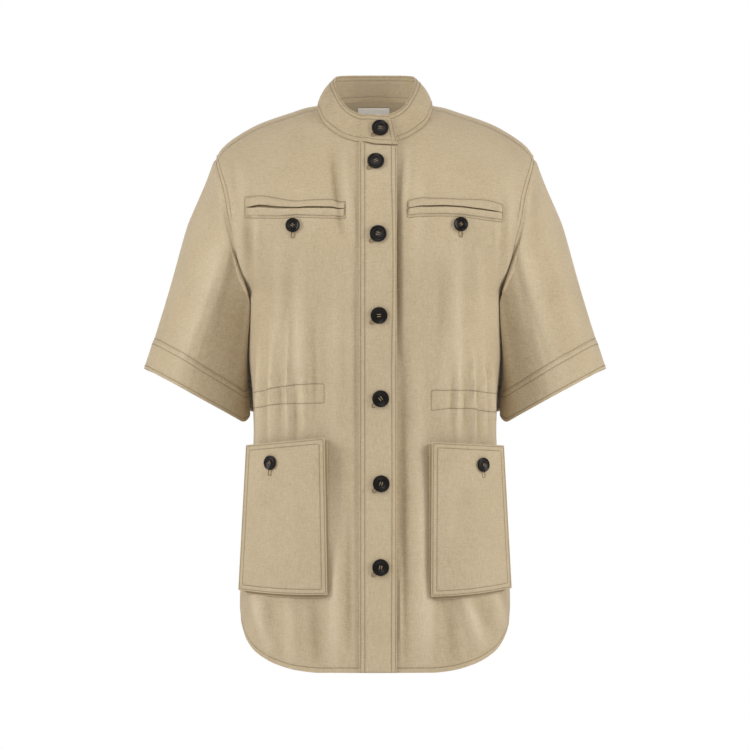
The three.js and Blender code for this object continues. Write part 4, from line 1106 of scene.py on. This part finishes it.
def make_welt(name, node, sign, upper):
    lines = WELTS[sign]
    x = np.linspace(lines["x"][0], lines["x"][-1], WELT_COLUMNS)[None, :]
    t = np.linspace(0, 1, WELT_ROWS)[:, None]
    lip = read(lines, "x", x, "slit") + upper * read(lines, "x", x, "gape") / 2
    z = mix(lip, read(lines, "x", x, "top" if upper > 0 else "low"), t)
    turn = np.sin(np.pi * np.clip(t * ROLL_SHOWS + 1 - ROLL_SHOWS, 0, 1))
    roll = WELT_PUFF * turn ** ROLL_ROUND - WELT_THINNING * t ** 3
    points = skin(FRONT, np.broadcast_to(sign * x, z.shape), z, LIFT + WELT_THICK + roll + 0 * x)
    sheet(name, node, points, WELT_THICK, (0, 0, None), "plain",
          rounded=0.45, flat=(0.13, 0.011), held="stretched")


# Hip pockets: a patch that stands off the body on a gusset folded in behind it
POCKET = {
    RIGHT: dict(inner_x=65.6, inner_low_x=62, top_in=-426, top_out=-435.5, low_in=-630.5, low_out=-624),
    LEFT: dict(inner_x=74, inner_low_x=73, top_in=-431.5, top_out=-436, low_in=-633, low_out=-621.5),
}
# The patch reaches out to the side, and hangs a little lower in its middle
POCKET_OUT = dict(top_x=168, low_x=178, top_y=-60, low_y=-62)
POCKET_STAND_TOP, POCKET_STAND_LOW = 16, 10
POCKET_SAG, POCKET_BELLY = 2.5, 0.76
POCKET_FOLDS = {
    RIGHT: folds(
        (0.42, 0.93, 0.30, 0.10, 0.14, 1.3), (0.60, 0.80, 0.56, 0.20, 0.16, -1.2),
        (0.80, 0.86, 0.86, 0.15, 0.12, 1.1), (0.16, 0.70, 0.12, 0.08, 0.09, -0.8),
        (0.55, 0.55, 0.74, 0.06, 0.16, 1.0)),
    LEFT: folds(
        (0.24, 0.94, 0.20, 0.20, 0.10, 1.2), (0.40, 0.80, 0.34, 0.12, 0.14, -1.0),
        (0.66, 0.88, 0.58, 0.10, 0.16, 1.3), (0.84, 0.80, 0.88, 0.15, 0.10, -0.9),
        (0.46, 0.45, 0.30, 0.04, 0.14, 0.8)),
}
PATCH_THICK, PATCH_COLUMNS, PATCH_ROWS = 1.6, 44, 72
GUSSET_THICK, GUSSET_INSET, GUSSET_FOLD, GUSSET_DEPTH, GUSSET_SWELL = 1.0, 2, 7, 0.45, 0.55
# The gusset's foot lies a little outside the patch, and its outer one on the body's side; the
# ridge between pleat and foot stands out
FOOT_OUT, OUTER_FOOT, GUSSET_RIDGE = 2, 0.952, 3.4
# Painted shade across the gusset's lines, in mm of fold shade: darkest in the pleat behind the patch's
# edge, none on the ridge, and dark again past the ridge where shade falls
GUSSET_SHADE = (0, -4, -8, -12, -14, -14, -14, -13, -9, 0, -1, -7, -11, -12)
POCKET_WIDE, POCKET_TALL = 112, 200
LABEL_THICK = 0.8
LABEL_ACROSS, LABEL_UP = (-23, 19.5, 16), (-17, 4.5, 10)


def patch_point(sign, across, up, folded=True):
    p = POCKET[sign]
    across, up = np.broadcast_arrays(np.asarray(across, float), up)
    inner_x = mix(p["inner_low_x"], p["inner_x"], up)
    x = mix(inner_x, mix(POCKET_OUT["low_x"], POCKET_OUT["top_x"], up), across)
    sag = POCKET_SAG * np.sin(np.pi * np.clip(across, 0, 1)) * (1 - up)
    z = mix(mix(p["low_in"], p["low_out"], across) - sag, mix(p["top_in"], p["top_out"], across), up)
    inner_y = -depth(FRONT, inner_x, z) - mix(POCKET_STAND_LOW, POCKET_STAND_TOP, up)
    outer_y = mix(POCKET_OUT["low_y"], POCKET_OUT["top_y"], up)
    bend = (1 - POCKET_BELLY) * across + POCKET_BELLY * across * across
    y = mix(inner_y, outer_y, bend)
    if folded:
        y = y - fold_height(POCKET_FOLDS[sign], across, up)
    return vec(sign * x, y, z)


def patch_outward(sign, across, up):
    step = 0.02
    right = patch_point(sign, across + step, up, False) - patch_point(sign, across - step, up, False)
    rise = patch_point(sign, across, up + step, False) - patch_point(sign, across, up - step, False)
    out = unit(np.cross(right, rise))
    return np.where(out[..., 1:2] < 0, out, -out)


def patch_offset(sign, across, up, offset):
    return patch_point(sign, across, up) + patch_outward(sign, across, up) * offset


def make_pocket_front(name, node, sign):
    across, up = np.linspace(0, 1, PATCH_COLUMNS)[None, :], np.linspace(0, 1, PATCH_ROWS)[:, None]
    points = patch_offset(sign, *np.broadcast_arrays(across, up), 0)
    inside, sides = (None, 0, None), ("foot", "top", "near", "far")
    edges = np.minimum.reduce([arc(points, side) for side in sides])
    sheet(name, node, points, PATCH_THICK, inside, "twin", {"edge_mm": edges},
          rounded=0.5, flat=(0.135, 0.20), held="hung")
    sew_twin(points, directions(points, inside), sides)


def gusset_path():
    """Places down the inner edge, along the bottom and up the outer edge, and the way in."""
    inner = [(0, up, 1, 0) for up in np.linspace(0.985, 0.1, 30)]
    inner += [(0.005, 0.05, 0.95, 0.3), (0.02, 0.02, 0.7, 0.7), (0.04, 0.005, 0.3, 0.95)]
    foot = [(across, 0, 0, 1) for across in np.linspace(0.06, 0.94, 40)]
    outer = [(1 - across, up, -x, z) for across, up, x, z in inner[::-1]]
    return np.array(inner + foot + outer)


def make_gusset(name, node, sign):
    across, up, turn_x, turn_z = gusset_path().T

    def under(distance):
        inward, upward = turn_x * distance / POCKET_WIDE, turn_z * distance / POCKET_TALL
        return patch_offset(sign, across + inward, up + upward, -CLOTH - 2 * LIFT)

    z = patch_point(sign, across, up)[..., 2] - FOOT_OUT * turn_z
    outer_x = read(BODY, "z", z, "half") * OUTER_FOOT
    inner_x = np.abs(patch_point(sign, 0, up)[..., 0]) - FOOT_OUT * np.maximum(0, turn_x)
    foot = skin(FRONT, sign * mix(inner_x, outer_x, across), z, LIFT)
    edge, pleat = under(GUSSET_INSET), mix(under(GUSSET_INSET + GUSSET_FOLD), foot, GUSSET_DEPTH)
    outer = mix(under(0), foot, GUSSET_SWELL) + GUSSET_RIDGE * vec(-sign * turn_x, 0, -turn_z)
    runs = ((edge, pleat, 4), (pleat, outer, 5), (outer, foot, 4))
    lines = [mix(start, end, k / steps) for start, end, steps in runs for k in range(steps)]
    points = np.stack(lines + [foot])
    for _ in range(2):
        points[1:-1] = (points[:-2] + 2 * points[1:-1] + points[2:]) / 4
    shade = np.broadcast_to(np.array(GUSSET_SHADE)[:, None], points.shape[:2])
    sheet(name, node, points, GUSSET_THICK, (None, 0, None), "plain", {"fold_shade_mm": shade},
          flat=(0.48, 0.018), held="folded")


def make_label():
    x, z = np.linspace(*LABEL_ACROSS)[None, :], np.linspace(*LABEL_UP)[:, None]
    points = skin(BACK, *np.broadcast_arrays(x, z), -CLOTH - 3 * LIFT)
    sheet("neck_label", "label", points, LABEL_THICK, (0, 0, None), "tape", slot="label",
          rounded=0.2, flat=(0.043, 0.022), held="hung")


# Buttons, modelled once and set on the cloth
BUTTON_SIDES = 40
HOLE_RADIUS, HOLE_PLACE = 1.05, 0.2
BUTTON_ROUNDING, BUTTON_EDGE, BUTTON_SMOOTH = 0.35, math.radians(30), math.radians(35)
BUTTON_RINGS = ((0.88, 0.35), (0.76, -0.55), (0.66, -0.35), (0.58, 0.28), (0.50, -0.28))
BUTTON_THICK, BUTTON_HOLES = 2.7, 4


def model_button(radius):
    """A disc, inset ring by ring into a raised rim with a dished middle, then drilled."""
    deselect()
    bpy.ops.mesh.primitive_cylinder_add(vertices=BUTTON_SIDES, radius=radius * MM, depth=BUTTON_THICK * MM,
                                        location=(0, 0, BUTTON_THICK / 2 * MM))
    button = bpy.context.object
    bpy.ops.object.transform_apply(location=True)
    switch("EDIT")
    bpy.ops.mesh.select_all(action="DESELECT")
    switch("OBJECT")
    max(button.data.polygons, key=lambda face: face.center.z + face.normal.z).select = True
    switch("EDIT")
    bpy.ops.mesh.select_mode(type="FACE")
    at = 1.0
    for share, rise in BUTTON_RINGS:
        bpy.ops.mesh.inset(thickness=(at - share) * radius * MM, depth=rise * MM)
        at = share
    switch("OBJECT")
    apply_modifier(button, "BEVEL", width=BUTTON_ROUNDING * MM, segments=2, limit_method="ANGLE",
                   angle_limit=BUTTON_EDGE)
    out = HOLE_PLACE * radius * math.sqrt(2) * MM
    for k in range(BUTTON_HOLES):
        turn = math.pi / 4 + k * math.tau / BUTTON_HOLES
        deselect()
        bpy.ops.mesh.primitive_cylinder_add(vertices=12, radius=HOLE_RADIUS * MM, depth=10 * MM,
                                            location=(out * math.cos(turn), out * math.sin(turn), 0))
        drill = bpy.context.object
        apply_modifier(button, "BOOLEAN", object=drill, operation="DIFFERENCE", solver="EXACT")
        bpy.data.objects.remove(drill, do_unlink=True)
    deselect()
    button.select_set(True)
    bpy.context.view_layer.objects.active = button
    bpy.ops.object.shade_smooth_by_angle(angle=BUTTON_SMOOTH)
    return button


def turned(out, roll=0.0):
    """Columns are the x, y and z directions of a piece whose z looks out of the cloth."""
    out = unit(np.asarray(out, float))
    across = unit(np.cross((0, 0, 1), out))
    up = np.cross(out, across)
    c, s = math.cos(roll), math.sin(roll)
    return np.stack((across * c + up * s, up * c - across * s, out), axis=1)


def copy_at(source, name, seat, out, roll=0.0):
    copy = source.copy()
    copy.data = source.data.copy()
    copy.name = copy.data.name = name
    bpy.context.collection.objects.link(copy)
    set_points(copy, points_of(source) @ turned(out, roll).T + seat)
    return copy


def model_capsule(length, radius, sides, rings):
    """A short round thread, thick in the middle, with its ends bent down into the cloth."""
    deselect()
    bpy.ops.mesh.primitive_cylinder_add(vertices=sides, radius=radius * MM, depth=length * MM,
                                        rotation=(0, math.pi / 2, 0), end_fill_type="TRIFAN")
    capsule = bpy.context.object
    bpy.ops.object.transform_apply(rotation=True)
    switch("EDIT")
    bpy.ops.mesh.select_all(action="SELECT")
    for k in range(1, rings):
        bpy.ops.mesh.bisect(plane_co=((k / rings - 0.5) * length * MM, 0, 0), plane_no=(1, 0, 0))
        bpy.ops.mesh.select_all(action="SELECT")
    switch("OBJECT")
    places = points_of(capsule)
    along = np.abs(places[:, 0]) / (length / 2)
    slim = np.sqrt(np.maximum(THREAD_TIP, 1 - along ** THREAD_TAPER))
    places[:, 1] *= slim
    places[:, 2] = places[:, 2] * slim - radius * THREAD_BEND * along ** 2
    set_points(capsule, places)
    return capsule


THREAD_TIP, THREAD_TAPER, THREAD_BEND = 0.12, 2.4, 1.1
STITCH_PITCH, STITCH_LENGTH, STITCH_RADIUS = 3.2, 2.3, 0.36
STITCH_SEAT = 0.14
# The buttonhole's close stitches, how flat they lie and how far they stand out of it in turn
HOLE_STITCH, HOLE_STITCHES, HOLE_FLAT, HOLE_RIPPLE = 0.62, 40, 0.8, 0.1
STRAND_RADIUS, STRAND_UP, STRAND_OVER, STRAND_APART = 0.55, 2.5, 1.6, 0.62


def frames_along(places, ways, pitch):
    """Places, tangents and outward directions at an even pitch along a line."""
    run = run_of(places)
    count = max(1, int(run[-1] / pitch))
    at = (np.arange(count) + 0.5) * run[-1] / count
    out = unit(along_line(at, run, ways))
    along = along_line(at + 1, run, places) - along_line(at - 1, run, places)
    along = unit(along - out * (along * out).sum(axis=1, keepdims=True))
    return along_line(at, run, places), along, out


def make_stitching(name, rows):
    capsule = model_capsule(STITCH_LENGTH, STITCH_RADIUS, 5, 2)
    base = points_of(capsule)
    faces = [list(face.vertices) for face in capsule.data.polygons]
    bpy.data.objects.remove(capsule, do_unlink=True)
    frames = zip(*(frames_along(*row, STITCH_PITCH) for row in rows))
    spots, alongs, outs = (np.concatenate(parts) for parts in frames)
    points = (spots + outs * STITCH_SEAT)[:, None]
    for k, way in enumerate((alongs, np.cross(outs, alongs), outs)):
        points = points + base[None, :, k:k + 1] * way[:, None]
    mesh = bpy.data.meshes.new(name)
    every = [[v + k * len(base) for v in face] for k in range(len(spots)) for face in faces]
    mesh.from_pydata((points.reshape(-1, 3) * MM).tolist(), [], every)
    mesh.update()
    piece = bpy.data.objects.new(name, mesh)
    bpy.context.collection.objects.link(piece)
    set_look(piece, LOOKS["thread"])
    mesh.polygons.foreach_set("use_smooth", [True] * len(mesh.polygons))
    dress(piece, "cloth")


def model_buttonhole(length, width):
    """A buttonhole: a ring of close stitches round a slit, flat on the cloth."""
    deselect()
    bpy.ops.mesh.primitive_torus_add(major_radius=width / 2 * MM, minor_radius=HOLE_STITCH * MM,
                                     major_segments=HOLE_STITCHES, minor_segments=10)
    hole = bpy.context.object
    places = points_of(hole)
    places[:, 0] += np.sign(places[:, 0]) * (length - width) / 2
    angle = np.arctan2(places[:, 1], places[:, 0])
    places[:, 2] = places[:, 2] * HOLE_FLAT + HOLE_RIPPLE * np.cos(HOLE_STITCHES * angle)
    set_points(hole, places)
    bpy.ops.object.shade_smooth()
    return hole


def model_button_thread(radius):
    """Two runs of thread between the button's holes, side by side."""
    strands, hole = [], HOLE_PLACE * radius
    for side in (-1, 1):
        capsule = model_capsule(2 * hole + STRAND_OVER, STRAND_RADIUS, 8, 6)
        set_points(capsule, points_of(capsule) + (0, side * hole * STRAND_APART, STRAND_UP))
        strands.append(capsule)
    deselect()
    for capsule in strands:
        capsule.select_set(True)
    bpy.context.view_layer.objects.active = strands[0]
    bpy.ops.object.join()
    bpy.ops.object.shade_smooth()
    return bpy.context.object


FRONT_BUTTONS = table(
    "x z roll",
    (1, -68, 0.5), (4, -161.2, -0.3), (5.2, -266.5, 0.1), (7.3, -375.2, -0.9), (8, -486.2, 1.3),
    (7.3, -595.1, 1.4),
)
FRONT_BUTTON, SMALL_BUTTON = 11, 9.4
COLLAR_BUTTON_X, COLLAR_BUTTON_UP = 7.3, 0.53
CHEST_BUTTON = {RIGHT: (-106.6, -149.8), LEFT: (111.3, -148.5)}
POCKET_BUTTON = {RIGHT: (0.675, 0.865), LEFT: (0.69, 0.86)}
CHEST_ROLL, POCKET_ROLL, POCKET_HOLE_TURN = 0.7, 1.2, 0.1
HOLE_TURN, UPRIGHT_HOLE = math.radians(225), -math.pi / 2
LONG_HOLE, SHORT_HOLE = (20, 4.2), (17, 4.4)
# How far the middle of a buttonhole lies from its button's, how proud it is, and the button's seat
LONG_HOLE_OUT, SHORT_HOLE_OUT = 5.6, 8.2
HOLE_PROUD, BUTTON_SEAT = 0.25, 0.9


def model_kit(radius, hole, hole_out):
    """A button, its thread and its buttonhole, and how far apart they lie."""
    kit = model_button(radius), model_button_thread(radius), model_buttonhole(*hole)
    for source, look in zip(kit, ("horn", "strand", "hole")):
        set_look(source, LOOKS[look])
    return *kit, hole_out


def set_button(where, kit, seat, out, roll, hole_turn):
    """Sets a button on the cloth with its thread, over the end of its buttonhole."""
    button, thread, hole, hole_out = kit
    up = seat + BUTTON_SEAT * out
    dress(copy_at(button, f"horn_button_{where}", up, out, roll), "button", f"button_{where}")
    dress(copy_at(thread, f"button_thread_{where}", up, out, roll), "cloth")
    axes = turned(out)
    way = axes[:, 0] * math.cos(hole_turn) + axes[:, 1] * math.sin(hole_turn)
    centre = seat + hole_out * way + HOLE_PROUD * out
    dress(copy_at(hole, f"buttonhole_{where}", centre, out, hole_turn), "cloth")


def on_collar(x, up):
    """Point of the collar's tab at a place across and a share of the way up."""
    station = [np.array([value]) for value in map(float, tab_station(x))]
    return collar_point(station, np.array([up]), np.zeros(1))[0]


def make_buttons():
    large = model_kit(FRONT_BUTTON, LONG_HOLE, LONG_HOLE_OUT)
    small = model_kit(SMALL_BUTTON, SHORT_HOLE, SHORT_HOLE_OUT)
    for k, (x, z, roll) in enumerate(zip(*FRONT_BUTTONS.values())):
        seat = skin(FRONT, x, z, LIFT + BAND + placket_gape(x, z))
        set_button(f"front_{k + 1}", large, seat, on_skin(FRONT, x, z)[1], roll, HOLE_TURN)
    near, far = (on_collar(COLLAR_BUTTON_X + way, COLLAR_BUTTON_UP) for way in (-1, 1))
    low, high = (on_collar(COLLAR_BUTTON_X, up) for up in (0.0, 1.0))
    set_button("collar", large, (near + far) / 2, unit(np.cross(far - near, high - low)), 0.0, HOLE_TURN)
    for sign, word in SIDES:
        seat, out = on_skin(FRONT, *CHEST_BUTTON[sign])
        set_button(f"chest_{word}", small, seat, out, CHEST_ROLL * sign, UPRIGHT_HOLE)
        spot = sign, *POCKET_BUTTON[sign]
        set_button(f"pocket_{word}", small, patch_offset(*spot, 0.0), patch_outward(*spot),
                   POCKET_ROLL * sign, UPRIGHT_HOLE + POCKET_HOLE_TURN * sign)
    for source in (*large[:3], *small[:3]):
        bpy.data.objects.remove(source, do_unlink=True)


make_front("right_front", "front_right", RIGHT, (0.27, 0.74), 0.152)
make_front("left_front", "front_left", LEFT, (0.31, 0.74), 0.176)
make_back()
make_placket()
make_collar()
for sign, word in SIDES[::-1]:
    make_sleeve(sign, word)
for sign, word in SIDES:
    make_welt(f"upper_welt_{word}", f"chest_welt_upper_{word}", sign, 1)
    make_welt(f"lower_welt_{word}", f"chest_welt_lower_{word}", sign, -1)
    make_pocket_front(f"hip_pocket_{word}", f"pocket_front_{word}", sign)
    make_gusset(f"hip_gusset_{word}", f"pocket_gusset_{word}", sign)
make_label()
make_buttons()
make_stitching("topstitching", stitch_rows)


# Floor, light and camera
PHOTO_PIXELS = 750
PIXEL_MM = 1.3
ORIGIN_ROW = 110


LIGHTS = {
    "key_left": ((-2.6, -1.2, 0.6), (0, 0, -0.3), (0.9, 1.8), 47),
    "key_right": ((2.6, -1.2, 0.5), (0, 0, -0.3), (0.9, 1.8), 50),
    "front": ((-0.5, -3.4, 1.0), (0, 0, -0.3), (1.2, 1.0), 17),
    "top": ((0, -1.3, 2.1), (0, 0, -0.1), (1.2, 0.8), 12),
    "neck": ((0, -0.035, -0.036), (0, 0.035, 0.012), (0.08, 0.02), 0.044),
    "behind": ((0, 2.6, 0.8), (0, 0, -0.3), (2.4, 1.8), 30),
}
SKY, SKY_STRENGTH, WHITE = (1, 0.985, 0.96, 1), 0.3, (1, 1, 1, 1)
FLOOR = {"Base Color": (0.86, 0.86, 0.86, 1), "Roughness": 0.8}
FLOOR_SIZE, FLOOR_HEIGHT = 6, -1.0
CAMERA_BEFORE, CAMERA_SEES = 3, 20


def put(name, data, place, turn):
    thing = bpy.data.objects.new(name, data)
    bpy.context.collection.objects.link(thing)
    thing.location, thing.rotation_euler = place, turn
    return thing


def area_light(name, place, target, size, power):
    data = bpy.data.lights.new(name, "AREA")
    data.shape = "RECTANGLE"
    data.size, data.size_y = size
    data.energy = power
    put(name, data, place, (Vector(target) - Vector(place)).to_track_quat("-Z", "Y").to_euler())


def make_sky():
    """A pale sky that lights the jacket softly, and is plain white where the camera sees it."""
    world = bpy.context.scene.world = bpy.data.worlds.new("studio")
    sky = Wiring(world)
    light = sky.nodes["Background"]
    sky.fill(light, {"Color": SKY, "Strength": SKY_STRENGTH})
    seen = sky.node("ShaderNodeLightPath").outputs["Is Camera Ray"]
    white = sky.node("ShaderNodeBackground", {"Color": WHITE})
    chosen = sky.node("ShaderNodeMixShader", {0: seen, 1: light.outputs[0], 2: white.outputs[0]})
    sky.fill(sky.nodes["World Output"], {"Surface": chosen.outputs[0]})


def make_studio():
    deselect()
    bpy.ops.mesh.primitive_plane_add(size=FLOOR_SIZE, location=(0, 0, FLOOR_HEIGHT))
    floor = bpy.context.object
    floor.name = "pale_floor"
    set_look(floor, new_look("pale_floor").surface(FLOOR))
    for name, setting in LIGHTS.items():
        area_light(name, *setting)
    make_sky()
    scene = bpy.context.scene
    scene.view_settings.view_transform = "Standard"
    camera = bpy.data.cameras.new("camera")
    camera.type = "ORTHO"
    camera.ortho_scale = PHOTO_PIXELS * PIXEL_MM * MM
    camera.clip_end = CAMERA_SEES
    height = (ORIGIN_ROW - PHOTO_PIXELS / 2) * PIXEL_MM * MM
    scene.camera = put("camera", camera, (0, -CAMERA_BEFORE, height), (math.pi / 2, 0, 0))


make_studio()
